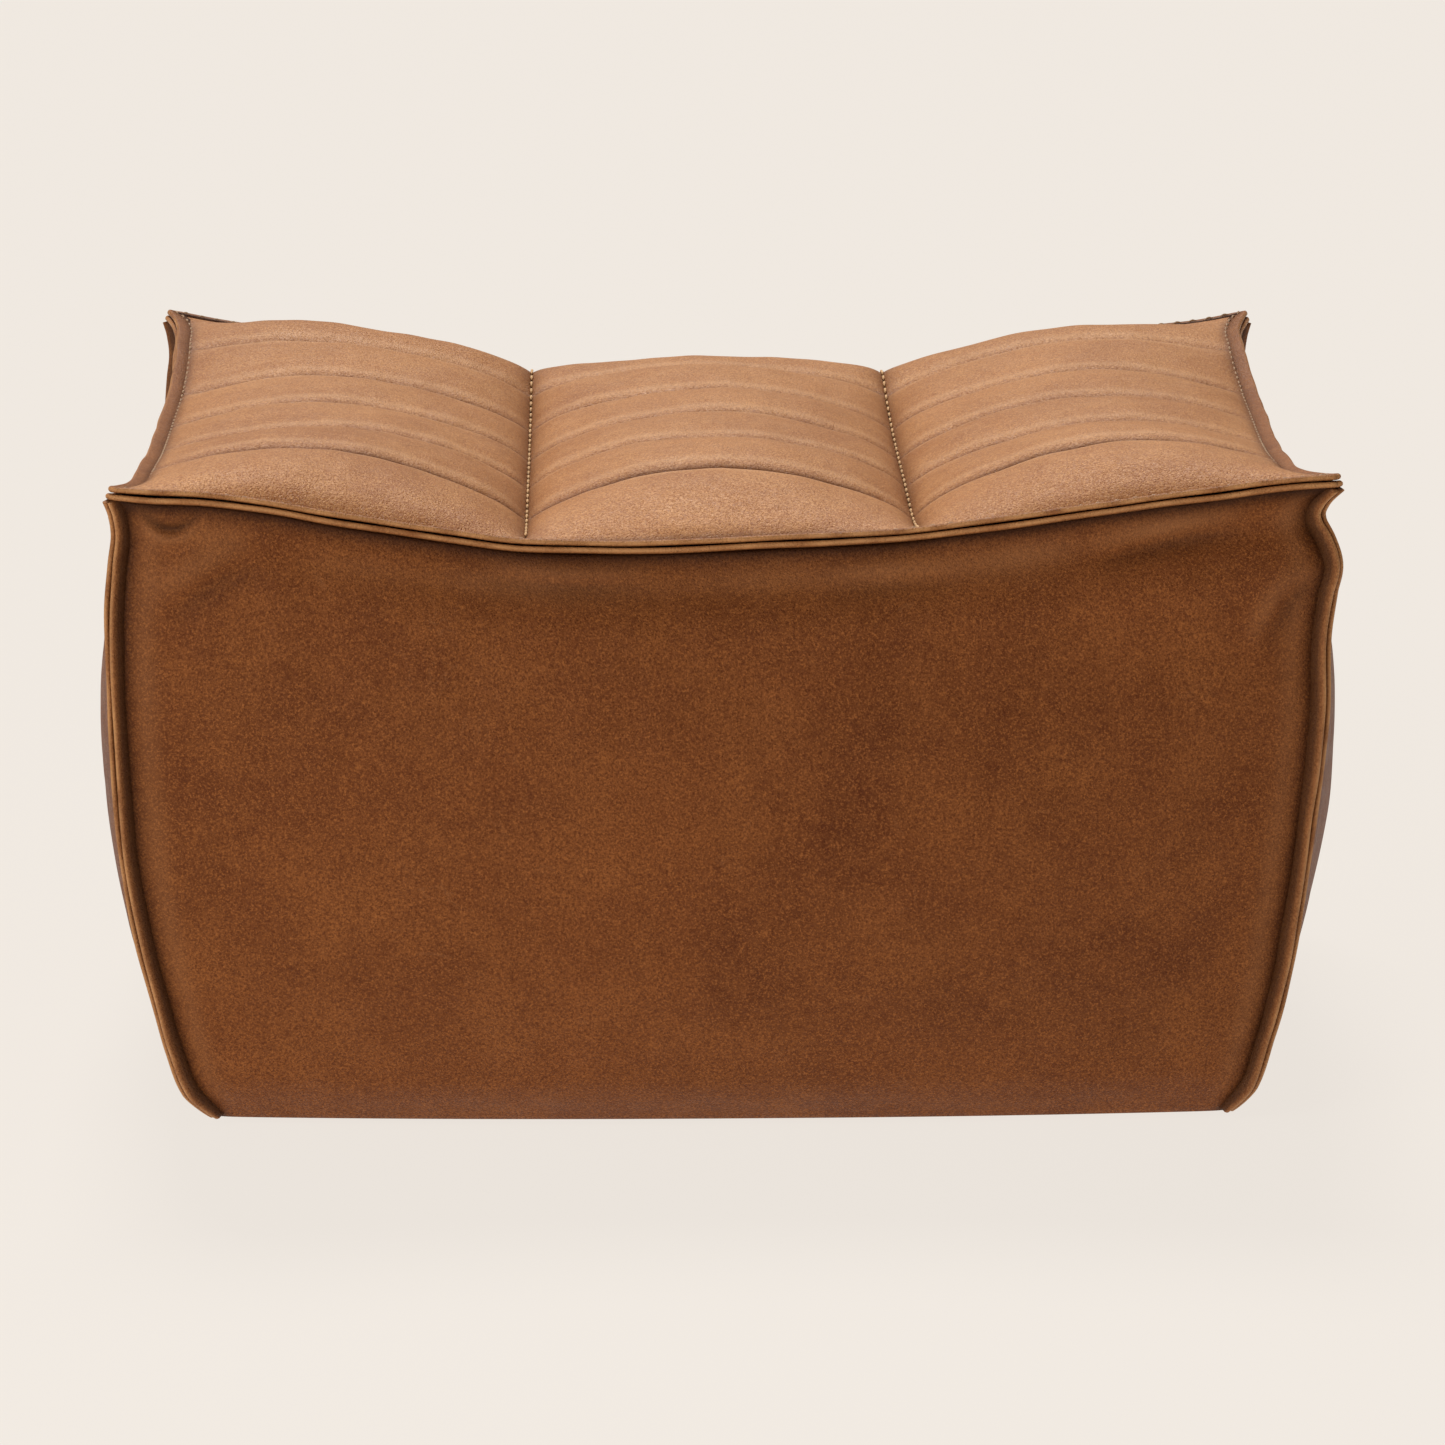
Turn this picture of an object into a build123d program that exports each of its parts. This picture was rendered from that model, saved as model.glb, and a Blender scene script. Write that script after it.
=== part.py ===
"""A low leather footstool: a pine box frame with elastic webbing, foam and wadding, inside a cover of
four side panels and three quilted top panels, joined by raised seams.

Row frame: origin on the floor under the middle of the stool, +X along its width, -Y towards its front,
+Z up. All sizes are in millimetres.
"""

import os
from math import sqrt

from build123d import *

os.makedirs("parts", exist_ok=True)

# ---- Cover -------------------------------------------------------------------------------------
TIP_HALF_W = 375.0  # half the distance between the horned top corners, along X
TIP_HALF_D = 321.5  # the same, along Y
TIP_HEIGHT = 420.0
CORNER_STEP = TIP_HALF_W - TIP_HALF_D  # every corner seam has |x| - |y| equal to this
LEATHER = 1.5
COVER_BOTTOM = 8.0
EDGE_CREASE_PULL = 18.0  # how far the middle of a top edge is drawn in from its two corners

# Height, half width at the corner seams, and how far the middle of each side stands proud of them
BODY_SECTIONS = [
    (COVER_BOTTOM, 322.0, 6.0),
    (30.0, 336.0, 13.0),
    (95.0, 352.0, 24.0),
    (185.0, 366.0, 31.0),
    (270.0, 372.0, 30.0),
    (345.0, 373.0, 21.0),
    (378.0, 372.0, -2.0),
    (392.0, 372.0, -EDGE_CREASE_PULL),
    (440.0, 371.0, -EDGE_CREASE_PULL),
]

COLUMN_SEAM_X = 125.0  # the two seams that part the top into three columns
COLUMN_CROWN_X = 252.0  # highest line of an outer column
COLUMN_OUTER_X = 405.0  # just outside the widest part of the cover

# Distance from the middle along Y, then the heights of the column seam, of the middle column's
# crown, of an outer column's crown and of the outer edge
TOP_STATIONS = [
    (0.0, 377.0, 409.0, 416.5, 383.0),
    (107.0, 378.0, 408.5, 417.5, 389.5),
    (214.0, 376.0, 408.0, 421.5, 403.0),
    (270.0, 380.0, 401.0, 417.0, 411.0),
    (310.0, 388.0, 386.0, 402.0, 422.0),
    (360.0, 392.0, 366.0, 385.0, 435.0),
]

# ---- Raised seams ------------------------------------------------------------------------------
LIP_THICKNESS = 3.2  # a folded leather edge
LIP_GAP = 1.0
SEAM_WIDTH = 9.5  # how far a raised seam stands out of the cover
SEAM_ROOT = 25.0  # how far its blank reaches inside, before the cover is cut away from it
FRONT_EDGE_SAG = 34.0
SIDE_EDGE_SAG = 28.0
CORNER_SEAM_TOP = 408.0

# ---- Soft layers -------------------------------------------------------------------------------
WADDING = 3.0
QUILT_THICKNESS = 12.5
BACKING = 0.6
PAD_BASE = 345.0  # where the column pads lie on the seat core and the side foam
SIDE_TRIM_START = 358.0  # the sides are cut to meet the top above this height, where they lean in

# ---- Frame -------------------------------------------------------------------------------------
FRAME_HALF_W = 288.0
FRAME_HALF_D = FRAME_HALF_W - CORNER_STEP
FRAME_BOTTOM = COVER_BOTTOM + LEATHER
RAIL_WIDTH = 60.0
RAIL_THICKNESS = 22.0
POST_SIDE = 45.0
POST_HEIGHT = 200.0
HARDBOARD = 3.0
HARDBOARD_INSET = 2.0  # its edges stop short of the rails' faces
POST_BOTTOM = FRAME_BOTTOM + RAIL_THICKNESS
POST_TOP = POST_BOTTOM + POST_HEIGHT
FRAME_TOP = POST_TOP + RAIL_THICKNESS
CORE_HALF_W = FRAME_HALF_W + HARDBOARD
CORE_HALF_D = FRAME_HALF_D + HARDBOARD

# ---- Webbing -----------------------------------------------------------------------------------
STRAP_WIDTH = 60.0
STRAP = 1.2
STRAP_END = 12.0  # how far a strap's end stays inside the frame's outer face
STRAP_FOLD = 32.0  # each end is folded double under its staples
LENGTHWISE_Y = [-110.0, 0.0, 110.0]
CROSSWISE_X = [-180.0, -90.0, 0.0, 90.0, 180.0]
CORE_BOTTOM = FRAME_TOP + 2 * STRAP

# ---- Underside ---------------------------------------------------------------------------------
HEM_OPENING_HALF_W = 250.0
HEM_OPENING_HALF_D = HEM_OPENING_HALF_W - CORNER_STEP
DUST_COVER = 0.8
DUST_COVER_HALF_W = 277.0
DUST_COVER_HALF_D = DUST_COVER_HALF_W - CORNER_STEP
DUST_COVER_BOTTOM = COVER_BOTTOM - DUST_COVER
GLIDE_RADIUS = 14.0
GLIDE_HEIGHT = DUST_COVER_BOTTOM
GLIDE_EDGE = 1.5
GLIDE_INSET = 30.0
GLIDE_X = FRAME_HALF_W - GLIDE_INSET
GLIDE_Y = FRAME_HALF_D - GLIDE_INSET

# ---- Fasteners ---------------------------------------------------------------------------------
STAPLE_CROWN = 10.0
STAPLE_WIRE = 0.7
STAPLE_LEG = 8.0
HEM_STAPLE_INSET = 8.0  # from the raw edge of the turned-under leather
DUST_STAPLE_INSET = 7.0  # from the edge of the dust cover
STAPLES_X = 8
STAPLES_Y = 6
STAPLE_PITCH = 60.0
SCREW_RADIUS = 2.2
SCREW_HEAD_RADIUS = 4.2
SCREW_HEAD_HEIGHT = 2.6
SCREW_LENGTH = 60.0
SCREW_EDGE = 12.0  # from a post's faces
GLIDE_SCREW_LENGTH = 24.0
GLIDE_SCREW_RECESS = 2.0

REACH = 600.0  # longer than any half size, for cutting blocks
SIDES = ("front", "back", "left", "right")
COLUMNS = ("left", "middle", "right")
CORNERS = {
    "front_left": (-1, -1),
    "front_right": (1, -1),
    "back_left": (-1, 1),
    "back_right": (1, 1),
}


def keep(piece, name):
    """Labels a finished piece and writes it as the node of that name."""
    piece.part.label = name
    export_step(piece.part, f"parts/{name}.step")


# ---- Blanks that several pieces are cut from ---------------------------------------------------
def body_blank(inset, bottom):
    """The whole outer shape, drawn in by inset on every side, from bottom upwards."""
    with BuildPart() as blank:
        for height, half_w, crown in BODY_SECTIONS:
            x = half_w - inset
            y = x - CORNER_STEP
            with BuildSketch(Plane.XY.offset(height)):
                with BuildLine():
                    ThreePointArc((-x, -y), (0, -y - crown), (x, -y))
                    ThreePointArc((x, -y), (x + crown, 0), (x, y))
                    ThreePointArc((x, y), (0, y + crown), (-x, y))
                    ThreePointArc((-x, y), (-x - crown, 0), (-x, -y))
                make_face()
        loft()
        if bottom > COVER_BOTTOM:
            with BuildSketch(Plane.XY.offset(COVER_BOTTOM)):
                Rectangle(2 * REACH, 2 * REACH)
            extrude(amount=bottom - COVER_BOTTOM, mode=Mode.SUBTRACT)
    return blank.part


def top_blank(column, drop):
    """Everything under one column's crowned top, lowered by drop, with upright flat sides."""
    with BuildPart() as blank:
        back_half = [s for s in TOP_STATIONS if s[0] > 0]
        front_half = [(-s[0], *s[1:]) for s in reversed(back_half)]
        for y, seam, middle, outer, edge in [*front_half, TOP_STATIONS[0], *back_half]:
            if column == "middle":
                arch = [(-COLUMN_SEAM_X, seam), (0, middle), (COLUMN_SEAM_X, seam)]
            else:
                side = -1 if column == "left" else 1
                arch = [
                    (side * COLUMN_SEAM_X, seam),
                    (side * COLUMN_CROWN_X, outer),
                    (side * COLUMN_OUTER_X, edge),
                ]
            (x0, z0), (x1, z1), (x2, z2) = arch
            with BuildSketch(Plane(origin=(0, y, -drop), x_dir=(1, 0, 0), z_dir=(0, -1, 0))):
                with BuildLine():
                    Polyline((x0, z0), (x0, drop), (x2, drop), (x2, z2))
                    ThreePointArc((x2, z2), (x1, z1), (x0, z0))
                make_face()
        loft()
    return blank.part


def side_wedge(side):
    """The quarter of the plan that belongs to one side, split along the corner seams' planes."""
    flip = -1 if side in ("front", "left") else 1
    if side in ("front", "back"):
        corners = [
            (-CORNER_STEP, 0),
            (CORNER_STEP, 0),
            (CORNER_STEP + REACH, flip * REACH),
            (-CORNER_STEP - REACH, flip * REACH),
        ]
    else:
        corners = [
            (flip * CORNER_STEP, 0),
            (flip * (CORNER_STEP + REACH), -REACH),
            (flip * (CORNER_STEP + REACH), REACH),
        ]
    with BuildPart() as wedge:
        with BuildSketch(Plane.XY):
            with BuildLine():
                Polyline(*corners, close=True)
            make_face()
        extrude(amount=REACH)
    return wedge.part


outer_body = body_blank(0, COVER_BOTTOM)
inside_leather = body_blank(LEATHER, COVER_BOTTOM + LEATHER)
inside_wadding = body_blank(LEATHER + WADDING, COVER_BOTTOM + LEATHER)
wedges = {side: side_wedge(side) for side in SIDES}
under_leather = {column: top_blank(column, LEATHER) for column in COLUMNS}


# ---- Fasteners ---------------------------------------------------------------------------------
def staple_rows(half_w, half_d):
    """Staple places along the four sides of a rectangle, each with its crown along the side."""
    across = [(i - (STAPLES_X - 1) / 2) * STAPLE_PITCH for i in range(STAPLES_X)]
    along = [(i - (STAPLES_Y - 1) / 2) * STAPLE_PITCH for i in range(STAPLES_Y)]
    places = [(x, y, 0) for y in (-half_d, half_d) for x in across]
    places += [(x, y, 90) for x in (-half_w, half_w) for y in along]
    return places


def staples(places, height, legs_up):
    """U-shaped wire staples whose crown's outer face is at height."""
    inward = 1 if legs_up else -1
    with BuildPart() as group:
        for x, y, turn in places:
            with Locations(Location((x, y, height), (0, 0, turn))):
                with Locations((0, 0, inward * STAPLE_WIRE / 2)):
                    Box(STAPLE_CROWN, STAPLE_WIRE, STAPLE_WIRE)
                leg_x = (STAPLE_CROWN - STAPLE_WIRE) / 2
                with Locations((-leg_x, 0, inward * STAPLE_LEG / 2), (leg_x, 0, inward * STAPLE_LEG / 2)):
                    Box(STAPLE_WIRE, STAPLE_WIRE, STAPLE_LEG)
    return group


def screws(places, length):
    """Countersunk screws; each place is a point, and 1 where the screw points up or -1 down."""
    with BuildPart() as group:
        for x, y, z, up in places:
            with BuildSketch(Plane(origin=(x, y, z), x_dir=(1, 0, 0), z_dir=(0, -1, 0))):
                with BuildLine():
                    Polyline(
                        (0, 0),
                        (SCREW_HEAD_RADIUS, 0),
                        (SCREW_RADIUS, up * SCREW_HEAD_HEIGHT),
                        (SCREW_RADIUS, up * (length - SCREW_RADIUS)),
                        (0, up * length),
                        close=True,
                    )
                make_face()
            revolve(axis=Axis((x, y, z), (0, 0, 1)))
    return group


hem_staples = staples(
    staple_rows(HEM_OPENING_HALF_W + HEM_STAPLE_INSET, HEM_OPENING_HALF_D + HEM_STAPLE_INSET),
    COVER_BOTTOM,
    legs_up=True,
)
dust_cover_staples = staples(
    staple_rows(DUST_COVER_HALF_W - DUST_STAPLE_INSET, DUST_COVER_HALF_D - DUST_STAPLE_INSET),
    DUST_COVER_BOTTOM,
    legs_up=True,
)

strap_reach_x = FRAME_HALF_W - STRAP_END
strap_reach_y = FRAME_HALF_D - STRAP_END
webbing_places = [
    (end * (strap_reach_x - STRAP_FOLD / 2), y + offset, 90)
    for y in LENGTHWISE_Y
    for end in (-1, 1)
    for offset in (-STRAP_WIDTH / 4, STRAP_WIDTH / 4)
]
webbing_places += [
    (x + offset, end * (strap_reach_y - STRAP_FOLD / 2), 0)
    for x in CROSSWISE_X
    for end in (-1, 1)
    for offset in (-STRAP_WIDTH / 4, STRAP_WIDTH / 4)
]
webbing_staples = staples(webbing_places, FRAME_TOP + 2 * STRAP, legs_up=False)

post_screw_x = (FRAME_HALF_W - SCREW_EDGE, FRAME_HALF_W - POST_SIDE + SCREW_EDGE)
post_screw_y = FRAME_HALF_D - SCREW_EDGE
frame_screws = screws(
    [
        (sx * x, sy * post_screw_y, z, up)
        for sx, sy in CORNERS.values()
        for x in post_screw_x
        for z, up in ((FRAME_BOTTOM, 1), (FRAME_TOP, -1))
    ],
    SCREW_LENGTH,
)
glide_screws = screws(
    [(sx * GLIDE_X, sy * GLIDE_Y, GLIDE_SCREW_RECESS, 1) for sx, sy in CORNERS.values()],
    GLIDE_SCREW_LENGTH,
)
fasteners = (hem_staples, dust_cover_staples, webbing_staples, frame_screws, glide_screws)

for piece, name in zip(
    fasteners,
    ("hem_staples", "dust_cover_staples", "webbing_staples", "frame_screws", "glide_screws"),
):
    keep(piece, name)


# ---- Timber frame ------------------------------------------------------------------------------
def timber(size, centre, name):
    """A planed length of pine, bored for the fasteners that pass through it."""
    with BuildPart() as piece:
        with Locations(centre):
            Box(*size)
        for group in fasteners:
            add(group.part, mode=Mode.SUBTRACT)
    keep(piece, name)


rail_y = FRAME_HALF_D - RAIL_WIDTH / 2
rail_x = FRAME_HALF_W - RAIL_WIDTH / 2
side_rail_length = 2 * (FRAME_HALF_D - RAIL_WIDTH)
for level, bottom in (("bottom", FRAME_BOTTOM), ("top", POST_TOP)):
    z = bottom + RAIL_THICKNESS / 2
    for side, sign in (("front", -1), ("back", 1)):
        timber((2 * FRAME_HALF_W, RAIL_WIDTH, RAIL_THICKNESS), (0, sign * rail_y, z), f"{level}_rail_{side}")
    for side, sign in (("left", -1), ("right", 1)):
        timber((RAIL_WIDTH, side_rail_length, RAIL_THICKNESS), (sign * rail_x, 0, z), f"{level}_rail_{side}")
timber((RAIL_WIDTH, side_rail_length, RAIL_THICKNESS), (0, 0, FRAME_BOTTOM + RAIL_THICKNESS / 2), "centre_rail")

for corner, (sx, sy) in CORNERS.items():
    timber(
        (POST_SIDE, POST_SIDE, POST_HEIGHT),
        (
            sx * (FRAME_HALF_W - POST_SIDE / 2),
            sy * (FRAME_HALF_D - POST_SIDE / 2),
            POST_BOTTOM + POST_HEIGHT / 2,
        ),
        f"corner_post_{corner}",
    )

board_height = FRAME_TOP - FRAME_BOTTOM - 2 * HARDBOARD_INSET
board_z = (FRAME_TOP + FRAME_BOTTOM) / 2
for side, sign in (("front", -1), ("back", 1)):
    with BuildPart() as board:
        with Locations((0, sign * (FRAME_HALF_D + HARDBOARD / 2), board_z)):
            Box(2 * CORE_HALF_W, HARDBOARD, board_height)
    keep(board, f"hardboard_{side}")
for side, sign in (("left", -1), ("right", 1)):
    with BuildPart() as board:
        with Locations((sign * (FRAME_HALF_W + HARDBOARD / 2), 0, board_z)):
            Box(HARDBOARD, 2 * FRAME_HALF_D, board_height)
    keep(board, f"hardboard_{side}")

# ---- Webbing: the crosswise straps lie on the lengthwise ones, and every end is folded double ---
with BuildPart() as webbing_lengthwise:
    for y in LENGTHWISE_Y:
        with Locations((0, y, FRAME_TOP + STRAP / 2)):
            Box(2 * strap_reach_x, STRAP_WIDTH, STRAP)
        fold_x = strap_reach_x - STRAP_FOLD / 2
        with Locations((-fold_x, y, FRAME_TOP + STRAP * 1.5), (fold_x, y, FRAME_TOP + STRAP * 1.5)):
            Box(STRAP_FOLD, STRAP_WIDTH, STRAP)
    add(webbing_staples.part, mode=Mode.SUBTRACT)
keep(webbing_lengthwise, "webbing_lengthwise")

with BuildPart() as webbing_crosswise:
    for x in CROSSWISE_X:
        with Locations((x, 0, FRAME_TOP + STRAP * 1.5)):
            Box(STRAP_WIDTH, 2 * strap_reach_y, STRAP)
        fold_y = strap_reach_y - STRAP_FOLD / 2
        with Locations((x, -fold_y, FRAME_TOP + STRAP / 2), (x, fold_y, FRAME_TOP + STRAP / 2)):
            Box(STRAP_WIDTH, STRAP_FOLD, STRAP)
    add(webbing_staples.part, mode=Mode.SUBTRACT)
keep(webbing_crosswise, "webbing_crosswise")

# ---- Foam and wadding --------------------------------------------------------------------------
with BuildPart() as seat_core:
    with BuildSketch(Plane.XY.offset(CORE_BOTTOM)):
        Rectangle(2 * CORE_HALF_W, 2 * CORE_HALF_D)
    extrude(amount=PAD_BASE - CORE_BOTTOM)
keep(seat_core, "seat_core_foam")

for side in SIDES:
    with BuildPart() as side_foam:
        add(inside_wadding)
        add(wedges[side], mode=Mode.INTERSECT)
        with BuildSketch(Plane.XY):
            Rectangle(2 * CORE_HALF_W, 2 * CORE_HALF_D)
        extrude(amount=REACH, mode=Mode.SUBTRACT)
        with BuildSketch(Plane.XY.offset(PAD_BASE)):
            Rectangle(2 * REACH, 2 * REACH)
        extrude(amount=REACH, mode=Mode.SUBTRACT)
    keep(side_foam, f"side_foam_{side}")

with BuildPart() as wadding_wrap:
    add(inside_leather)
    add(inside_wadding, mode=Mode.SUBTRACT)
    with BuildSketch(Plane.XY.offset(PAD_BASE)):
        Rectangle(2 * REACH, 2 * REACH)
    extrude(amount=REACH, mode=Mode.SUBTRACT)
keep(wadding_wrap, "wadding_wrap")

quilt_drop = LEATHER + QUILT_THICKNESS
for column in COLUMNS:
    under_quilt = top_blank(column, quilt_drop)
    under_backing = top_blank(column, quilt_drop + BACKING)
    with BuildPart() as quilt_wadding:
        add(under_leather[column])
        add(under_quilt, mode=Mode.SUBTRACT)
        add(inside_leather, mode=Mode.INTERSECT)
    keep(quilt_wadding, f"quilt_wadding_{column}")

    with BuildPart() as quilt_backing:
        add(under_quilt)
        add(under_backing, mode=Mode.SUBTRACT)
        add(inside_leather, mode=Mode.INTERSECT)
    keep(quilt_backing, f"quilt_backing_{column}")

    with BuildPart() as column_foam:
        add(under_backing)
        add(inside_leather, mode=Mode.INTERSECT)
        with BuildSketch(Plane.XY):
            Rectangle(2 * REACH, 2 * REACH)
        extrude(amount=PAD_BASE, mode=Mode.SUBTRACT)
    keep(column_foam, f"column_foam_{column}")

# ---- Leather cover -----------------------------------------------------------------------------
with BuildPart() as cover_tub:
    add(outer_body)
    add(inside_leather, mode=Mode.SUBTRACT)
    with BuildSketch(Plane.XY):
        Rectangle(2 * HEM_OPENING_HALF_W, 2 * HEM_OPENING_HALF_D)
    extrude(amount=FRAME_BOTTOM, mode=Mode.SUBTRACT)

with BuildPart() as under_top:
    for column in COLUMNS:
        add(under_leather[column])
    with BuildSketch(Plane.XY):
        Rectangle(2 * REACH, 2 * REACH)
    extrude(amount=SIDE_TRIM_START)

for side in SIDES:
    with BuildPart() as leather_side:
        add(cover_tub.part)
        add(wedges[side], mode=Mode.INTERSECT)
        add(under_top.part, mode=Mode.INTERSECT)
        for group in (hem_staples, dust_cover_staples, glide_screws):
            add(group.part, mode=Mode.SUBTRACT)
    keep(leather_side, f"leather_{side}")

for column in COLUMNS:
    with BuildPart() as leather_top:
        add(top_blank(column, 0))
        add(under_leather[column], mode=Mode.SUBTRACT)
        add(outer_body, mode=Mode.INTERSECT)
    keep(leather_top, f"leather_top_{column}")

# ---- Raised seams: two folded leather edges, side by side with a groove between them ------------
lip_starts = (LIP_GAP / 2, -LIP_GAP / 2 - LIP_THICKNESS)
corner_line = [(half_w, z) for z, half_w, _ in BODY_SECTIONS if z < CORNER_SEAM_TOP]
corner_line += [(BODY_SECTIONS[-1][1], CORNER_SEAM_TOP)]
for corner, (sx, sy) in CORNERS.items():
    seam_plane = Plane(
        origin=(sx * CORNER_STEP, 0, 0), x_dir=(sx, sy, 0), z_dir=Vector(sx, sy, 0).cross(Vector(0, 0, 1))
    )
    line = [(sqrt(2) * (half_w - CORNER_STEP), z) for half_w, z in corner_line]
    inner = [(u - SEAM_ROOT, z) for u, z in line]
    outer = [(u + SEAM_WIDTH, z) for u, z in line]
    with BuildPart() as corner_seam:
        for start in lip_starts:
            with BuildSketch(seam_plane.offset(start)):
                with BuildLine():
                    Spline(*outer)
                    Polyline(outer[-1], inner[-1], inner[0], outer[0])
                make_face()
            extrude(amount=LIP_THICKNESS)
        add(outer_body, mode=Mode.SUBTRACT)
    keep(corner_seam, f"corner_seam_{corner}")


def edge_seam(side):
    """A top edge's raised seam: a strip in plan, bent to the edge's sag, outside the cover."""
    flip = -1 if side in ("front", "left") else 1
    lengthwise = side in ("front", "back")
    half_length = (TIP_HALF_W if lengthwise else TIP_HALF_D) + LIP_THICKNESS
    tip = (TIP_HALF_D if lengthwise else TIP_HALF_W) + LIP_THICKNESS
    middle = tip + SEAM_WIDTH - EDGE_CREASE_PULL - LIP_THICKNESS
    sag = FRONT_EDGE_SAG if lengthwise else SIDE_EDGE_SAG
    rise = Plane.XZ if lengthwise else Plane.YZ

    def plan(length, across):
        return (length, flip * across) if lengthwise else (flip * across, length)

    with BuildPart() as blank:
        with BuildSketch(Plane.XY):
            with BuildLine():
                ThreePointArc(plan(-half_length, tip), plan(0, middle), plan(half_length, tip))
                Polyline(
                    plan(half_length, tip),
                    plan(half_length - SEAM_ROOT, tip - SEAM_ROOT),
                    plan(SEAM_ROOT - half_length, tip - SEAM_ROOT),
                    plan(-half_length, tip),
                )
            make_face()
        extrude(amount=REACH)
    with BuildPart() as lips:
        for start in lip_starts:
            low = TIP_HEIGHT + start
            high = low + LIP_THICKNESS
            with BuildSketch(rise):
                with BuildLine():
                    ThreePointArc((-half_length, low), (0, low - sag), (half_length, low))
                    Line((half_length, low), (half_length, high))
                    ThreePointArc((half_length, high), (0, high - sag), (-half_length, high))
                    Line((-half_length, high), (-half_length, low))
                make_face()
            extrude(amount=REACH, both=True)
        add(blank.part, mode=Mode.INTERSECT)
        add(outer_body, mode=Mode.SUBTRACT)
    return lips


for side in SIDES:
    keep(edge_seam(side), f"top_edge_seam_{side}")

# ---- Underside ---------------------------------------------------------------------------------
with BuildPart() as dust_cover:
    with BuildSketch(Plane.XY.offset(DUST_COVER_BOTTOM)):
        Rectangle(2 * DUST_COVER_HALF_W, 2 * DUST_COVER_HALF_D)
    extrude(amount=DUST_COVER)
    add(dust_cover_staples.part, mode=Mode.SUBTRACT)
    add(glide_screws.part, mode=Mode.SUBTRACT)
keep(dust_cover, "dust_cover")

for corner, (sx, sy) in CORNERS.items():
    with BuildPart() as glide:
        with BuildSketch(Plane.XY):
            with Locations((sx * GLIDE_X, sy * GLIDE_Y)):
                Circle(GLIDE_RADIUS)
        extrude(amount=GLIDE_HEIGHT)
        fillet(glide.edges().group_by(Axis.Z)[0], radius=GLIDE_EDGE)
        with BuildSketch(Plane.XY):
            with Locations((sx * GLIDE_X, sy * GLIDE_Y)):
                Circle(SCREW_HEAD_RADIUS)
        extrude(amount=GLIDE_SCREW_RECESS, mode=Mode.SUBTRACT)
        add(glide_screws.part, mode=Mode.SUBTRACT)
    keep(glide, f"glide_{corner}")
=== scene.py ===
"""The looks of a quilted leather footstool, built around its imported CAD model.

Sizes are in metres. Each side of the stool is made in its own terms, seen from outside: along runs to the
right, out runs away from the middle, and z runs up.
"""

import bmesh
import bpy
import numpy as np
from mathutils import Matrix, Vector


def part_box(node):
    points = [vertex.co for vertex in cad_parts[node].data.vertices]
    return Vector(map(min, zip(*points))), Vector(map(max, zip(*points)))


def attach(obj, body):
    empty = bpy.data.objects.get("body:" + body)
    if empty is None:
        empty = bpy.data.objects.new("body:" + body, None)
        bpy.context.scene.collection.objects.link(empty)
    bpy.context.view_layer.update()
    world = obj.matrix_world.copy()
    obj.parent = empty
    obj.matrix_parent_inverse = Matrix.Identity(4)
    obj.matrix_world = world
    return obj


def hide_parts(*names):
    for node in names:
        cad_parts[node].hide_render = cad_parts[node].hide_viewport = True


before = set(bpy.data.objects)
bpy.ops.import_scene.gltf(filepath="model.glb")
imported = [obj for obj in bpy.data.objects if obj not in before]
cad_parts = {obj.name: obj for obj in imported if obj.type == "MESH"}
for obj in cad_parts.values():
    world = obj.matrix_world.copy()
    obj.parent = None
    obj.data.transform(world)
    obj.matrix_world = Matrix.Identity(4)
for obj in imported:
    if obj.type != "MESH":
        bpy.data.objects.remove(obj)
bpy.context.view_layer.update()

MM = 0.001
SIDES = ("front", "right", "back", "left")
COLUMNS = ("left", "middle", "right")
CORNERS = {"front_left": (-1, -1), "front_right": (1, -1), "back_right": (1, 1), "back_left": (-1, 1)}
# The corners at the left and right ends of each side, seen from outside
ENDS = {
    "front": ("front_left", "front_right"),
    "right": ("front_right", "back_right"),
    "back": ("back_right", "back_left"),
    "left": ("back_left", "front_left"),
}
# Whether a side's along direction runs with its axis (1) or against it (-1)
RUNS = {"front": 1, "right": 1, "back": -1, "left": -1}

# ---- Places taken from the frame -----------------------------------------------------------------
tip_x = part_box("top_edge_seam_front")[1].x - 3.2 * MM
tip_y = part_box("top_edge_seam_right")[1].y - 3.2 * MM
edge_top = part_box("top_edge_seam_front")[1].z - 6.6 * MM
cover_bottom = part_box("leather_front")[0].z - 2.5 * MM  # the leather's fold hangs a little under its hem
dust_low, dust_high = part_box("dust_cover")
corner_step = tip_x - tip_y
seam_x = {"left": -0.123, "right": 0.120}

LEATHER = 1.4 * MM
LIP = 3.4 * MM  # thickness of one folded leather edge
LIP_GAP = 1.3 * MM
LIP_WIDTH = 9.5 * MM  # how far a raised seam stands out
LIP_LIFT = 2.8 * MM  # how far from a raised seam's middle a panel meets it
TILT = np.tan(np.radians(17))  # how steeply the raised top seams point up
BACK_TILT = np.tan(np.radians(-7))  # the one at the back droops

# ---- Curves that shape the cover ------------------------------------------------------------------
# Height, then half width at a corner seam
CORNER_LINE = [
    (8, 319), (30, 333), (60, 342.5), (95, 350.5), (136, 359), (185, 366.5), (235, 370),
    (280, 372.3), (320, 372.8), (350, 372.2), (375, 370), (395, 368), (408, 370), (420, 375),
]
FRONT_RIGHT_LINE = [
    (8, 317), (30, 329), (64, 338), (108, 347), (151, 353), (193, 358), (235, 362.5), (276, 365.5),
    (330, 366), (352, 368.5), (370, 371.5), (383, 367), (392, 362), (399, 361), (408, 364), (420, 375),
]
BACK_RIGHT_LINE = [(height, half - 4 if height < 380 else half) for height, half in CORNER_LINE]
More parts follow.
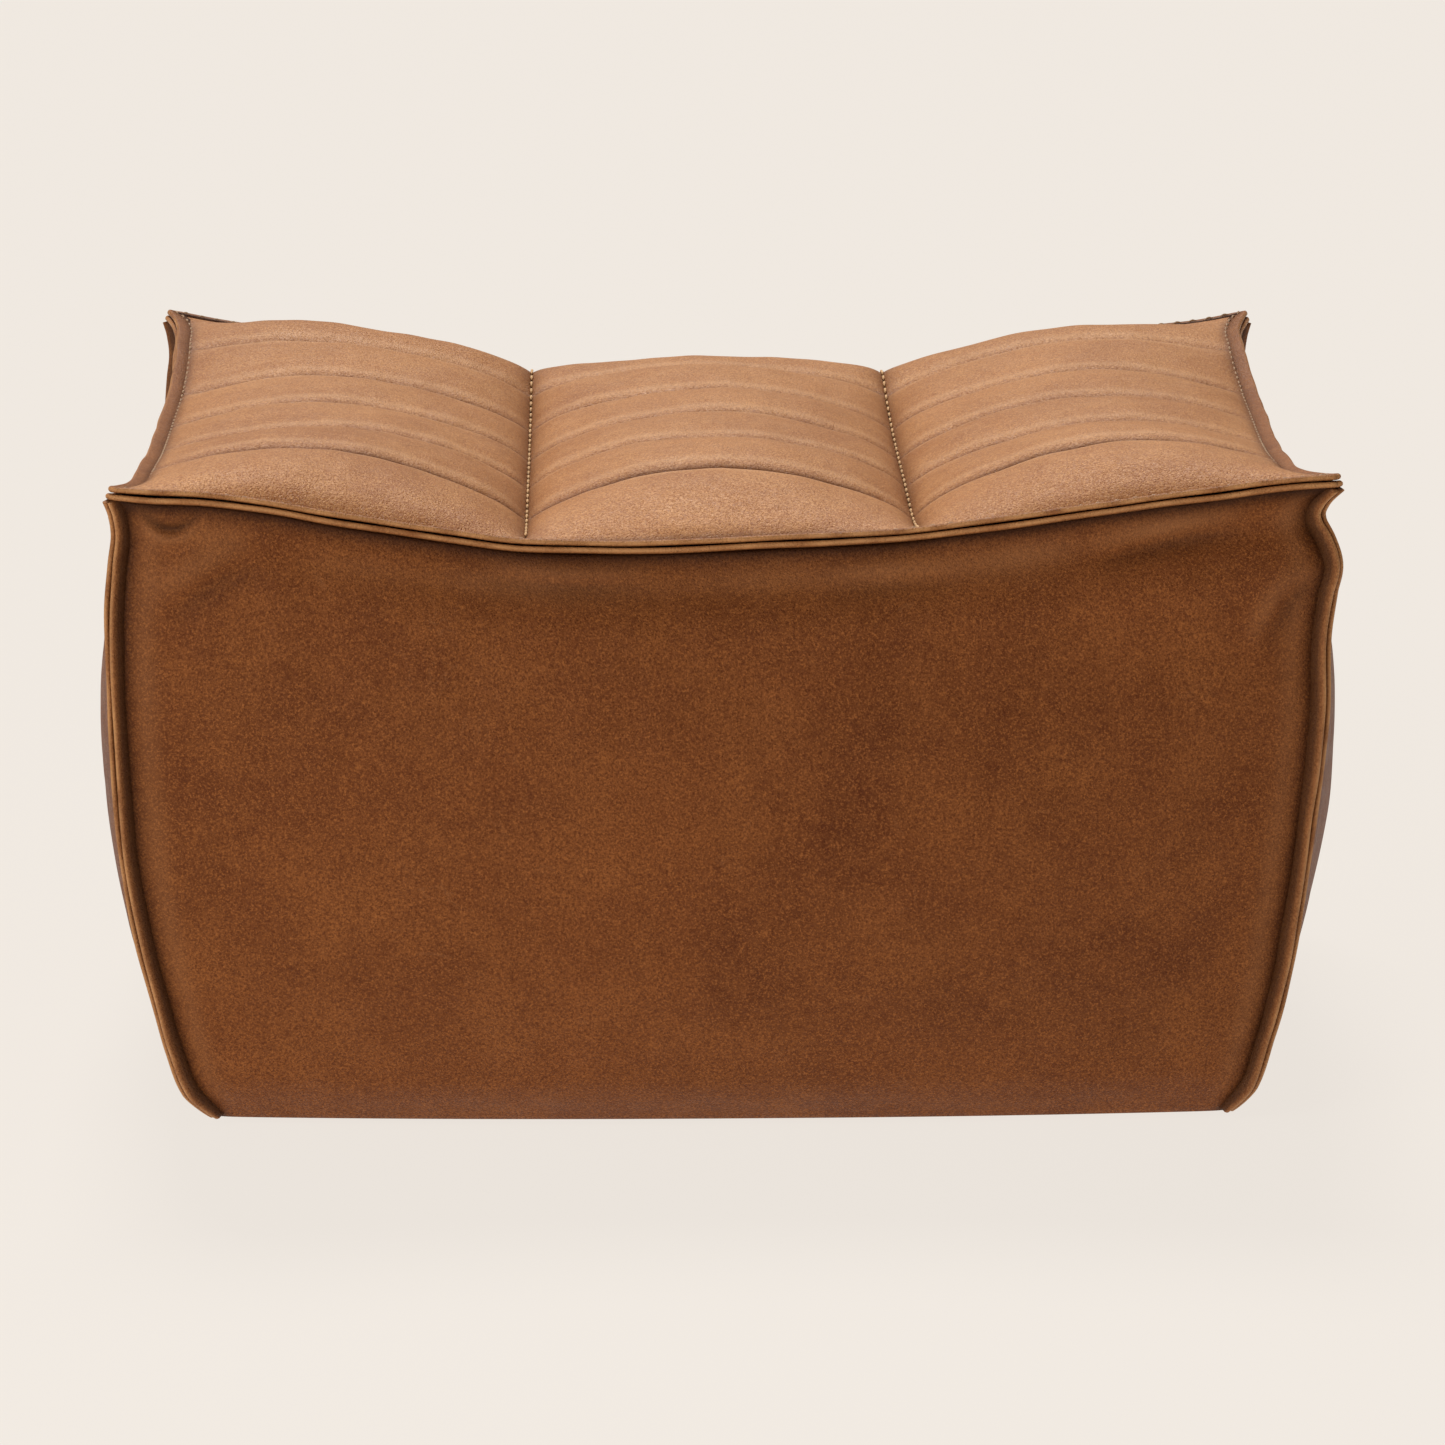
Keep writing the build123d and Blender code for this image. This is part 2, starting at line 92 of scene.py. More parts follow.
# Height, then how far the middle of a side stands proud of its corner seams
SIDE_FULLNESS = [
    (8, 11), (30, 17), (60, 22), (95, 26), (140, 29), (200, 31), (260, 30), (320, 27), (420, 24),
]
FULLNESS_SHARE = {"front": 1, "right": 0.95, "back": 1, "left": 0.80}
# Distance below a top edge, then the share of the side's fullness that is reached there
ROLL = [(0, 0), (6, 0.10), (14, 0.26), (28, 0.45), (50, 0.65), (80, 0.82), (115, 0.94), (160, 1), (420, 1)]
# Place along X or Y as a share of the half length, then how far a top edge sags
EDGE_SAG = {
    "front": [
        (-1, 0.5), (-0.95, 3.0), (-0.85, 5.2), (-0.75, 10.8), (-0.655, 18.2), (-0.555, 24.6), (-0.456, 30.6),
        (-0.356, 35.8), (-0.24, 38.2), (-0.12, 38.6), (0, 37.2), (0.18, 34), (0.29, 31.4), (0.383, 27),
        (0.495, 21.6), (0.6, 15.4), (0.7, 9.8), (0.807, 4.2), (0.884, -0.4), (0.95, -3.2), (1, -5),
    ],
    "back": [
        (-1, -3), (-0.93, 2.5), (-0.82, 8.5), (-0.6, 21), (-0.45, 32), (-0.33, 40), (-0.15, 44), (0, 45),
        (0.15, 45), (0.3, 43.5), (0.45, 33), (0.6, 23), (0.82, 9.5), (0.93, 5), (1, 0),
    ],
    "left": [
        (-1, 0.5), (-0.94, 4.5), (-0.85, 7.5), (-0.667, 10), (-0.33, 17), (0, 20.5), (0.33, 18),
        (0.55, 10.5), (0.667, 5.5), (0.85, 1.5), (1, -3),
    ],
    "right": [
        (-1, -5), (-0.94, -0.8), (-0.85, 3), (-0.667, 6), (-0.33, 14.5), (0, 19), (0.33, 20.3),
        (0.55, 14), (0.667, 8.5), (0.85, 4.5), (1, 0),
    ],
}
# The same places, then how far a top edge is drawn in
END_PULL = [
    (-1, 0), (-0.9, 3.4), (-0.7, 8.8), (-0.4, 14), (0, 16), (0.4, 14), (0.7, 8.8), (0.9, 3.4), (1, 0),
]
EDGE_PULL = {
    "front": END_PULL,
    "back": END_PULL,
    "left": [
        (-1, 0), (-0.94, 10), (-0.86, 15), (-0.7, 16.5), (0, 16.5), (0.7, 16.5), (0.86, 14), (0.94, 8.5),
        (1, 0),
    ],
    "right": [
        (-1, 0), (-0.94, 15), (-0.86, 23.5), (-0.7, 27), (-0.33, 24.5), (0, 20.5), (0.33, 17.5), (0.7, 16.5),
        (0.86, 14), (0.94, 8.5), (1, 0),
    ],
}

# Place along Y, then the height of a column seam, and of each column's crown
COLUMN_SEAM_LINE = [
    (-309, 385), (-285, 383), (-250, 381.5), (-214, 381), (-107, 382), (0, 381), (107, 382), (214, 388),
    (255, 394), (285, 398.5), (306, 398),
]
CROWN = {
    "left": [
        (-314, 398), (-303, 410), (-288, 418), (-268, 423), (-242, 426), (-214, 427), (-107, 421.5),
        (0, 418.5), (107, 418.5), (214, 424), (244, 425), (268, 421), (288, 412), (303, 402), (313, 393),
    ],
    "middle": [
        (-306, 384), (-298, 391), (-284, 398), (-265, 405), (-240, 411), (-214, 414.5), (-107, 415),
        (0, 412.5), (107, 409.8), (214, 407.5), (244, 404.5), (266, 399), (284, 391), (297, 383), (305, 376),
    ],
    "right": [
        (-314, 400), (-303, 412), (-288, 420), (-268, 425.5), (-242, 428.5), (-214, 429.5), (-107, 423.5),
        (0, 422), (107, 421), (214, 422), (244, 421.5), (268, 417), (288, 409), (303, 399), (313, 391),
    ],
}
QUILT_LINES = np.array([-214, -107, 0, 107, 214]) * MM
# Soft folds in the front panel: where each starts and ends, its bow, its width and its height
FRONT_FOLDS = [
    ((222, 379), (322, 401), 3, 7, 2.0),
    ((-358, 404), (-322, 402), -9, 3.4, -2.2),
    ((-150, 371), (-40, 366), -3, 6, 1.4),
    ((-352, 350), (-292, 386), 4, 9, 1.3),
    ((322, 318), (356, 374), 4, 7, 1.5),
    ((60, 362), (150, 368), 2, 6, 0.9),
]
OTHER_FOLDS = [
    ((-300, 372), (-225, 352), -4, 7, 1.6),
    ((205, 360), (285, 388), 4, 7, 1.6),
    ((-60, 366), (50, 362), -3, 6, 1.0),
]


def smooth(table):
    """A function that passes smoothly through a table of (place, value) in millimetres."""
    places, values = np.array(table, float).T
    slopes = np.gradient(values, places)

    def at(place):
        place = np.clip(place, places[0], places[-1])
        i = np.clip(np.searchsorted(places, place) - 1, 0, len(places) - 2)
        step = places[i + 1] - places[i]
        t = (place - places[i]) / step
        return (
            (2 * t**3 - 3 * t**2 + 1) * values[i]
            + (t**3 - 2 * t**2 + t) * step * slopes[i]
            + (3 * t**2 - 2 * t**3) * values[i + 1]
            + (t**3 - t**2) * step * slopes[i + 1]
        )

    return at


corner_line = {corner: smooth(CORNER_LINE) for corner in CORNERS}
corner_line["front_right"] = smooth(FRONT_RIGHT_LINE)
corner_line["back_right"] = smooth(BACK_RIGHT_LINE)
side_fullness = smooth(SIDE_FULLNESS)
roll = smooth(ROLL)
sag = {side: smooth(table) for side, table in EDGE_SAG.items()}
pull = {side: smooth(table) for side, table in EDGE_PULL.items()}
seam_height = smooth(COLUMN_SEAM_LINE)
crown = {column: smooth(table) for column, table in CROWN.items()}


def ripple(points, wavelength, seed):
    """A smooth random field, about -1 to 1, whose bumps are about one wavelength apart."""
    rng = np.random.default_rng(seed)
    total = np.zeros(points.shape[:-1])
    for _ in range(10):
        direction = rng.normal(size=3)
        direction *= 2 * np.pi / (wavelength * rng.uniform(0.7, 1.6) * np.linalg.norm(direction))
        total += np.sin(points @ direction + rng.uniform(0, 2 * np.pi))
    return total / 3.2


def unit(vectors):
    return vectors / np.linalg.norm(vectors, axis=-1, keepdims=True)


# ---- Sides in their own terms --------------------------------------------------------------------
def half_length(side):
    return tip_x if side in ("front", "back") else tip_y


def half_depth(side):
    return tip_y if side in ("front", "back") else tip_x


def place(side, along, out, z):
    """Points in the row frame from a side's own terms."""
    x, y = {
        "front": (along, -out),
        "right": (out, along),
        "back": (-along, out),
        "left": (-out, -along),
    }[side]
    return np.stack(np.broadcast_arrays(x, y, z), axis=-1)


def edge_line(side, share):
    """How far out a top edge's crease is, and how high, at a share of its half length."""
    run = share * RUNS[side]
    return half_depth(side) - pull[side](run) * MM, edge_top - sag[side](run) * MM


def corner_at(corner, t):
    """A corner seam's place at a share of its height: how far out in X and in Y, and its height."""
    side = "front" if corner.startswith("front") else "back"
    tip = edge_top - sag[side](CORNERS[corner][0] * 1.0) * MM
    half = corner_line[corner](8 + 412 * t) * MM
    return half, half - corner_step, cover_bottom + (tip - cover_bottom) * t


def fold(along, z, start, end, bow, width, height):
    """The height of one soft fold, a bowed ridge with a furrow beside it, that fades at both ends."""
    run = np.array(end, float) - start
    length = np.hypot(*run)
    s = ((along - start[0]) * run[0] + (z - start[1]) * run[1]) / length**2
    across = ((z - start[1]) * run[0] - (along - start[0]) * run[1]) / length - 4 * bow * s * (1 - s)
    fade = np.sin(np.pi * np.clip(s, 0, 1)) ** 0.8
    ridge = np.exp(-((across / width) ** 2)) - 0.6 * np.exp(-(((across + 1.7 * width) / width) ** 2))
    return 1.5 * height * fade * ridge


def side_surface(side, rows=161, columns=241):
    """A side panel's outer face, up from its lower fold to its top edge, and how high its folds stand."""
    ease = np.linspace(-1, 1, columns)
    share, t = np.meshgrid(ease * 0.72 + 0.28 * np.sin(ease * np.pi / 2), np.linspace(0, 1, rows) ** 0.92)
    mix = (share + 1) / 2
    (x0, y0, _), (x1, y1, _) = (corner_at(corner, t) for corner in ENDS[side])
    ends = [(x0, y0), (x1, y1)] if side in ("front", "back") else [(y0, x0), (y1, x1)]
    along = -ends[0][0] * (1 - mix) + ends[1][0] * mix
    chord = ends[0][1] * (1 - mix) + ends[1][1] * mix
    edge_out, edge_z = edge_line(side, share)
    edge_z = edge_z - LIP_LIFT
    z = cover_bottom + (edge_z - cover_bottom) * t
    below = (edge_z - z) / MM
    arch = 1 - np.abs(share) ** 2.3
    full = roll(below)
    fullness = side_fullness(z / MM) * MM * arch * FULLNESS_SHARE[side]
    out = chord + fullness * full - (half_depth(side) - edge_out) * (1 - full)
    from_corner = (1 - np.abs(share)) * half_length(side)
    reach = np.minimum(from_corner, below * MM + 0.003)
    lower = np.clip((z - cover_bottom) / 0.03, 0, 1)
    out = out + 4.6 * MM * (1 - np.exp(-reach / 0.0065)) * (0.35 + 0.65 * lower)
    shapes = FRONT_FOLDS if side == "front" else OTHER_FOLDS
    folds = sum(fold(along / MM, z / MM, *shape) for shape in shapes)
    out = out + folds * MM
    points = place(side, along, out, z)
    seed = SIDES.index(side) * 10
    loose = np.clip(from_corner / 0.012, 0, 1) * np.clip(below * MM / 0.012, 0, 1) * lower
    puckers = ripple(np.stack([0 * z, 0 * z, z], axis=-1), 0.024, seed + 2) * np.exp(-from_corner / 0.016)
    edge_puckers = ripple(np.stack([along, 0 * z, 0 * z], axis=-1), 0.05, seed + 3) * np.exp(-below / 22)
    out = out + loose * MM * (1.2 * ripple(points, 0.16, seed) + 0.4 * ripple(points, 0.05, seed + 1))
    out = out + loose * MM * (0.8 * puckers + 0.9 * edge_puckers)
    return along, out, z, from_corner, below * MM, folds


def quilt_rows(count):
    """Places from -1 to 1, closer together beside the quilting lines."""
    fine = np.linspace(-1, 1, 4001)
    nearest = np.abs(fine[:, None] * tip_y - QUILT_LINES).min(axis=1)
    density = np.cumsum(1 + 3.0 * np.exp(-((nearest / 0.008) ** 2)) + 1.5 * (np.abs(fine) > 0.9))
    return np.interp(np.linspace(density[0], density[-1], count), density, fine)


def strip_ridge(y):
    """How far a quilted strip stands out between its two stitched lines, 0 on a line and 1 between."""
    which = np.searchsorted(QUILT_LINES, y)
    inside = (which > 0) & (which < len(QUILT_LINES))
    low = QUILT_LINES[np.clip(which - 1, 0, len(QUILT_LINES) - 1)]
    high = QUILT_LINES[np.clip(which, 0, len(QUILT_LINES) - 1)]
    middle = np.where(inside, (2 * y - low - high) / np.maximum(high - low, 1e-6), 0)
    ridge = 0.38 * (1 - middle**2) + 0.62 * (1 - np.abs(middle) ** 9) ** 0.6
    gap = np.maximum(np.abs(y) - QUILT_LINES[-1], 0)
    end = 1 - 0.45 * np.exp(-gap / 0.005) - 0.55 * np.exp(-((gap / 0.026) ** 1.5))
    return np.where(inside, ridge, end)


STRIP_RIDGE = 8.0 * MM


def column_surface(column, rows=421, columns=106):
    """A top panel's outer face, with its quilted strips, and how far each point is from its seams."""
    u, row = np.meshgrid(np.linspace(0, 1, columns), quilt_rows(rows))
    u = 0.45 * u + 0.55 * (0.5 - 0.5 * np.cos(u * np.pi))
    y_line = row * tip_y
    seam_z = seam_height(y_line / MM) * MM
    if column == "left":
        out, z_low = edge_line("left", -row)
        x_low, x_high, z_high = -out, seam_x["left"], seam_z
        z_low = z_low + LIP_LIFT
    elif column == "middle":
        x_low, x_high, z_low, z_high = seam_x["left"], seam_x["right"], seam_z, seam_z
    else:
        x_high, z_high = edge_line("right", row)
        x_low, z_low = seam_x["right"], seam_z
        z_high = z_high + LIP_LIFT
    x = x_low + (x_high - x_low) * u
    x_low, x_high = np.broadcast_to(x_low, u.shape), np.broadcast_to(x_high, u.shape)
    x_middle = (x_low + x_high) / 2

    def end_edges(at):
        """The front or back edge's distance out and height, whichever is nearer, at places along X."""
        front = edge_line("front", at / tip_x)
        back = edge_line("back", -at / tip_x)
        return [np.where(row < 0, f, b) for f, b in zip(front, back)]

    end_out, end_z = end_edges(x)
    end_z = end_z + LIP_LIFT
    y = row * end_out
    blend = np.abs(row) ** 7
    ends_low, ends_high = end_edges(x_low)[1] + LIP_LIFT, end_edges(x_high)[1] + LIP_LIFT
    border_low = z_low * (1 - blend) + ends_low * blend
    border_high = z_high * (1 - blend) + ends_high * blend
    base = border_low * (1 - u) + border_high * u
    base = base + (end_z - ends_low * (1 - u) - ends_high * u) * blend
    middle_out, middle_z = end_edges(x_middle)
    middle = (border_low + border_high) / 2 + (middle_z + LIP_LIFT - (ends_low + ends_high) / 2) * blend
    rise = np.maximum(crown[column](row * middle_out / MM) * MM - middle, 0)
    z = base + rise * (1 - np.abs(2 * u - 1) ** 1.9) ** 0.85

    from_low, from_high = np.abs(x - x_low), np.abs(x - x_high)
    from_end = end_out - np.abs(y)
    valley = np.zeros(z.shape)
    if column != "left":
        valley = valley + np.exp(-from_low / 0.0065)
    if column != "right":
        valley = valley + np.exp(-from_high / 0.0065)
    z = z - 5.5 * MM * valley * (1 - blend)
    fade_low, fade_high = (0.018 if column == "left" else 0.008), (0.018 if column == "right" else 0.008)
    loose = (1 - np.exp(-from_low / fade_low)) * (1 - np.exp(-from_high / fade_high))
    loose = loose * (1 - np.exp(-from_end / 0.010))
    seed = 50 + COLUMNS.index(column) * 10
    points = np.stack([x, y, z], axis=-1)
    wavy_y = y_line + 0.8 * MM * ripple(points, 0.2, seed)
    z = z + loose * STRIP_RIDGE * (strip_ridge(wavy_y) - 1)
    z = z + loose * MM * (0.8 * ripple(points, 0.11, seed + 1) + 0.3 * ripple(points, 0.035, seed + 2))
    gathers = ripple(np.stack([0 * y, y, 0 * y], axis=-1), 0.03, seed + 3)
    z = z + loose * MM * 0.7 * gathers * np.exp(-np.minimum(from_low, from_high) / 0.018)
    return np.stack([x, y, z], axis=-1), wavy_y, valley, from_low, from_high, from_end, loose


# ---- Meshes --------------------------------------------------------------------------------------
def link(piece):
    bpy.context.scene.collection.objects.link(piece)
    return piece


def quads_between(index, closed=False):
    after = np.roll(index, -1, axis=1)
    if not closed:
        index, after = index[:, :-1], after[:, :-1]
    return np.stack([index[:-1], after[:-1], after[1:], index[1:]], axis=-1).reshape(-1, 4)


def mesh_piece(name, points, faces, attributes=None):
    """A smooth piece, with a float attribute for each named set of values at its points."""
    mesh = bpy.data.meshes.new(name)
    mesh.from_pydata(np.reshape(points, (-1, 3)).tolist(), [], faces)
    mesh.shade_smooth()
    for key, values in (attributes or {}).items():
        layer = mesh.attributes.new(key, "FLOAT", "POINT")
        layer.data.foreach_set("value", np.asarray(values, np.float32).ravel())
    return link(bpy.data.objects.new(name, mesh))


def sheet_mesh(name, points, flip=False, **attributes):
    index = np.arange(points[..., 0].size).reshape(points.shape[:2])
    quads = quads_between(index)
    return mesh_piece(name, points, (quads[:, ::-1] if flip else quads).tolist(), attributes)


def inward(points, distance):
    """A grid's points moved in along its normals."""
    normals = unit(np.cross(np.gradient(points, axis=1), np.gradient(points, axis=0)))
    return points - normals * distance


def thicken(piece, thickness):
    solid = piece.modifiers.new("thickness", "SOLIDIFY")
    solid.thickness = thickness
    solid.offset = -1
    solid.use_even_offset = False


def finish_piece(piece, material, slot, *nodes):
    piece.data.materials.append(material)
    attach(piece, "root")
    if nodes:
        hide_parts(*nodes)
    return piece


def sweep(name, path, across, up, profile, **tones):
    """A closed tube whose outline, in (across, up) terms, is profile, which may change along the path."""
    count, loop = len(path), profile.shape[-2]
    outline = np.broadcast_to(profile, (count, loop, 2))
    points = path[:, None] + outline[..., :1] * across[:, None] + outline[..., 1:] * up[:, None]
    index = np.arange(count * loop).reshape(count, loop)
    faces = quads_between(index, closed=True).tolist() + [index[0, ::-1].tolist(), index[-1].tolist()]
    values = {key: np.broadcast_to(tone, (count, loop)) for key, tone in tones.items()}
    piece = mesh_piece(name, points, faces, values)
    for cap in (-1, -2):
        piece.data.polygons[cap].use_smooth = False
    return piece


def joined(name, parts):
    """One piece from several meshes."""
    with bpy.context.temp_override(
        active_object=parts[0], selected_objects=parts, selected_editable_objects=parts
    ):
        bpy.ops.object.join()
    parts[0].name = name
    parts[0].data.name = name
    return parts[0]


# ---- Stuffed leather: cloth held at its seams and pressed out from inside --------------------------
SETTLING_FRAMES = 20
PRESSURE = 4.0
BLUR_CELLS = 2  # how widely the press is evened out, in cells of the coarse grid


def blurred(field, reach):
    """A grid smoothed over about reach cells each way."""
    offsets = np.arange(-3 * reach, 3 * reach + 1)
    weights = np.exp(-0.5 * (offsets / reach) ** 2)
    weights /= weights.sum()
    for axis in (0, 1):
        pad = [(0, 0)] * field.ndim
        pad[axis] = (3 * reach, 3 * reach)
        padded = np.pad(field, pad, mode="edge")
        size = field.shape[axis]
        field = sum(w * np.take(padded, range(k, k + size), axis) for k, w in enumerate(weights))
    return field


def refined(field, stride):
    """A coarse grid of values filled in smoothly to stride times its resolution."""
    for axis in (0, 1):
        field = np.moveaxis(field, axis, 0)
        slopes = np.gradient(field, axis=0)
        fine = np.arange((len(field) - 1) * stride + 1) / stride
        i = np.minimum(fine.astype(int), len(field) - 2)
        t = (fine - i).reshape((-1,) + (1,) * (field.ndim - 1))
        field = (
            (2 * t**3 - 3 * t**2 + 1) * field[i]
            + (t**3 - 2 * t**2 + t) * slopes[i]
            + (3 * t**2 - 2 * t**3) * field[i + 1]
            + (t**3 - t**2) * slopes[i + 1]
        )
        field = np.moveaxis(field, 0, axis)
    return field


def settled(points, held, slack, most, stride):
    """A panel pressed out by its filling, as cloth held at its seams, and smoothed so nothing sinks in."""
    coarse = points[::stride, ::stride]
    panel = sheet_mesh("settling", coarse)
    seams = panel.vertex_groups.new(name="seams")
    seams.add(np.flatnonzero(held[::stride, ::stride].ravel()).tolist(), 1.0, "REPLACE")
    cloth = panel.modifiers.new("cloth", "CLOTH")
    settings = cloth.settings
    settings.quality = 6
    settings.mass = 0.4
    settings.tension_stiffness = 30
    settings.compression_stiffness = 30
    settings.shear_stiffness = 12
    settings.bending_stiffness = 3
    settings.air_damping = 4
    settings.vertex_group_mass = "seams"
    settings.shrink_min = -slack
    settings.use_pressure = True
    settings.uniform_pressure_force = PRESSURE
    settings.effector_weights.gravity = 0
    cloth.collision_settings.use_collision = False
    cloth.point_cache.frame_start = 1
    cloth.point_cache.frame_end = SETTLING_FRAMES
    scene = bpy.context.scene
    for step in range(1, SETTLING_FRAMES + 1):
        scene.frame_set(step)
    pressed = panel.evaluated_get(bpy.context.evaluated_depsgraph_get())
    result = np.empty(coarse.size)
    pressed.data.vertices.foreach_get("co", result)
    scene.frame_set(1)
    bpy.data.objects.remove(panel)
    shift = result.reshape(coarse.shape) - coarse
    normals = unit(np.cross(np.gradient(coarse, axis=1), np.gradient(coarse, axis=0)))
    press = np.maximum((shift * normals).sum(axis=-1, keepdims=True), 0)
    firm = np.minimum(1, blurred((~held[::stride, ::stride]).astype(float)[..., None], 1) ** 2)
    press = most * np.tanh(blurred(press, BLUR_CELLS) / (3 * most)) * firm
    press[held[::stride, ::stride]] = 0
    return points + refined(normals * press, stride)


# ---- Materials -----------------------------------------------------------------------------------
class Shader:
    """A node material under construction."""

    def __init__(self, name):
        self.material = bpy.data.materials.new(name)
        self.material.use_nodes = True
        self.tree = self.material.node_tree
        self.bsdf = self.tree.nodes["Principled BSDF"]
        self.coords = self.add("TexCoord").outputs["Object"]

    def add(self, kind, settings=None, **inputs):
        made = self.tree.nodes.new("ShaderNode" + kind)
        for key, value in (settings or {}).items():
            setattr(made, key, value)
        for key, value in inputs.items():
            self.put(made.inputs[key], value)
        return made

    def put(self, socket, value):
        if isinstance(value, bpy.types.NodeSocket):
            self.tree.links.new(value, socket)
        else:
            socket.default_value = value

    def noise(self, scale, detail=4.0, roughness=0.55, distortion=0.0, vector=None):
        made = self.add("TexNoise", Vector=vector or self.coords, Scale=scale, Detail=detail)
        made.inputs["Roughness"].default_value = roughness
        made.inputs["Distortion"].default_value = distortion
        return made.outputs["Fac"]

    def cells(self, scale, feature="F1", smoothness=None):
        made = self.add("TexVoronoi", {"feature": feature}, Vector=self.coords, Scale=scale)
        if smoothness is not None:
            made.inputs["Smoothness"].default_value = smoothness
        return made.outputs["Distance"]

    def attribute(self, name):
        return self.add("Attribute", {"attribute_name": name}).outputs["Fac"]

    def remap(self, value, low, high, to_low=0.0, to_high=1.0):
        made = self.add("MapRange", {"clamp": True}, Value=value)
        made.inputs["From Min"].default_value = low
        made.inputs["From Max"].default_value = high
        made.inputs["To Min"].default_value = to_low
        made.inputs["To Max"].default_value = to_high
        return made.outputs["Result"]

    def math(self, operation, a, b):
        made = self.add("Math", {"operation": operation})
        self.put(made.inputs[0], a)
        self.put(made.inputs[1], b)
        return made.outputs[0]

    def mix(self, factor, a, b, blend="MIX"):
        made = self.add("Mix", {"data_type": "RGBA", "blend_type": blend})
        self.put(made.inputs[0], factor)
        self.put(made.inputs[6], a)
        self.put(made.inputs[7], b)
        return made.outputs[2]

    def bump(self, height, strength, distance, normal=None):
        made = self.add("Bump", Height=height, Strength=strength, Distance=distance)
        if normal is not None:
            self.put(made.inputs["Normal"], normal)
        return made.outputs["Normal"]

    def finish(self, **inputs):
        for key, value in inputs.items():
            self.put(self.bsdf.inputs[key.replace("_", " ")], value)
        return self.material


def rgb(red, green, blue):
    return (red, green, blue, 1.0)


def leather_material(name, base, deep, pale, crease_colour, worn_and_highlight_colour, cloud_scale, specular):
    """Waxed leather: clouded colour, a pebbled grain, faint scuffs, painted shade in creases, and pale wear
    that is partly a painted highlight on folds and crests.
    """
    s = Shader(name)
    clouds = s.remap(s.noise(cloud_scale, 5, 0.6, 0.6), 0.36, 0.64)
    patches = s.remap(s.noise(cloud_scale * 3.6, 6, 0.65, 0.4), 0.42, 0.66)
    mottle = s.remap(s.noise(140, 6, 0.78), 0.38, 0.64)
    colour = s.mix(clouds, base, deep)
    colour = s.mix(s.math("MULTIPLY", patches, 0.5), colour, pale)
    colour = s.mix(s.math("MULTIPLY", mottle, 0.34), colour, pale)
    speckle = s.remap(s.noise(560, 4, 0.8), 0.43, 0.58)
    colour = s.mix(s.math("MULTIPLY", speckle, 0.85), colour, deep)
    sparkle = s.remap(s.noise(700, 4, 0.8, 0.4), 0.50, 0.61)
    colour = s.mix(s.math("MULTIPLY", sparkle, 0.85), colour, pale)
    grain = s.cells(640, "SMOOTH_F1", smoothness=0.35)
    pores = s.remap(grain, 0.05, 0.45)
    colour = s.mix(s.math("MULTIPLY", s.remap(grain, 0.5, 0.12), 0.3), colour, deep)
    scuff_field = s.noise(7.5, 5, 0.55, 1.4)
    scuffs = s.remap(s.math("ABSOLUTE", s.math("SUBTRACT", scuff_field, 0.5), 0.0), 0.006, 0.0)
    scuffs = s.math("MULTIPLY", scuffs, s.remap(s.noise(16, 3), 0.54, 0.66))
    colour = s.mix(s.math("MULTIPLY", scuffs, 0.20), colour, worn_and_highlight_colour)
    # Pale wear, partly real and partly a painted highlight on seam noses, quilt crests and fold ridges
    colour = s.mix(s.math("MULTIPLY", s.attribute("wear"), 0.75), colour, worn_and_highlight_colour)
    # Painted shade: darkening in creases, quilt lines, seam roots and the band under the top seam
    colour = s.mix(s.math("MULTIPLY", s.attribute("crease"), 0.85), colour, crease_colour)
    normal = s.bump(s.noise(1900, 3, 0.6), 0.25, 0.0006)
    normal = s.bump(pores, 0.45, 0.0011, normal)
    normal = s.bump(speckle, 0.25, 0.0012, normal)
    normal = s.bump(s.noise(80, 4, 0.6), 0.18, 0.004, normal)
    roughness = s.remap(s.noise(60, 5, 0.7), 0.3, 0.7, 0.40, 0.56)
    return s.finish(
        Base_Color=colour,
        Roughness=roughness,
        Normal=normal,
        IOR=1.46,
        Specular_IOR_Level=specular,
    )


def thread_material(name, light, dark):
    s = Shader(name)
    twist = s.add("TexWave", {"bands_direction": "DIAGONAL"}, Vector=s.coords, Scale=520.0, Distortion=2.0)
    fibre = s.noise(2600, 2)
    colour = s.mix(twist.outputs["Fac"], light, dark)
    normal = s.bump(twist.outputs["Fac"], 0.5, 0.0005)
    normal = s.bump(fibre, 0.25, 0.0003, normal)
    return s.finish(Base_Color=colour, Roughness=0.55, Normal=normal, Sheen_Weight=0.2)


def spunbond_material():
    s = Shader("black_spunbond")
    dots = s.cells(420, "F1")
    strands = s.noise(900, 6, 0.8, 1.5)
    colour = s.mix(strands, rgb(0.010, 0.010, 0.011), rgb(0.034, 0.034, 0.036))
    normal = s.bump(s.remap(dots, 0.1, 0.5), 0.5, 0.0006)
    normal = s.bump(strands, 0.4, 0.0004, normal)
    return s.finish(Base_Color=colour, Roughness=0.92, Normal=normal, Sheen_Weight=0.25)


def steel_material(name, colour, roughness):
    s = Shader(name)
    brushed = s.noise(700, 4, 0.6)
    tone = s.mix(s.remap(brushed, 0.3, 0.7), colour, tuple(0.7 * c for c in colour[:3]) + (1.0,))
    rough = s.remap(s.noise(240, 3), 0.3, 0.7, roughness - 0.06, roughness + 0.1)
    return s.finish(Base_Color=tone, Metallic=1.0, Roughness=rough, Normal=s.bump(brushed, 0.12, 0.0003))


def plastic_material():
    s = Shader("black_plastic")
    speckle = s.noise(1300, 3, 0.6)
    colour = s.mix(speckle, rgb(0.016, 0.016, 0.017), rgb(0.03, 0.03, 0.031))
    rough = s.remap(s.noise(120, 4), 0.3, 0.7, 0.42, 0.6)
    return s.finish(Base_Color=colour, Roughness=rough, Normal=s.bump(speckle, 0.2, 0.0004))


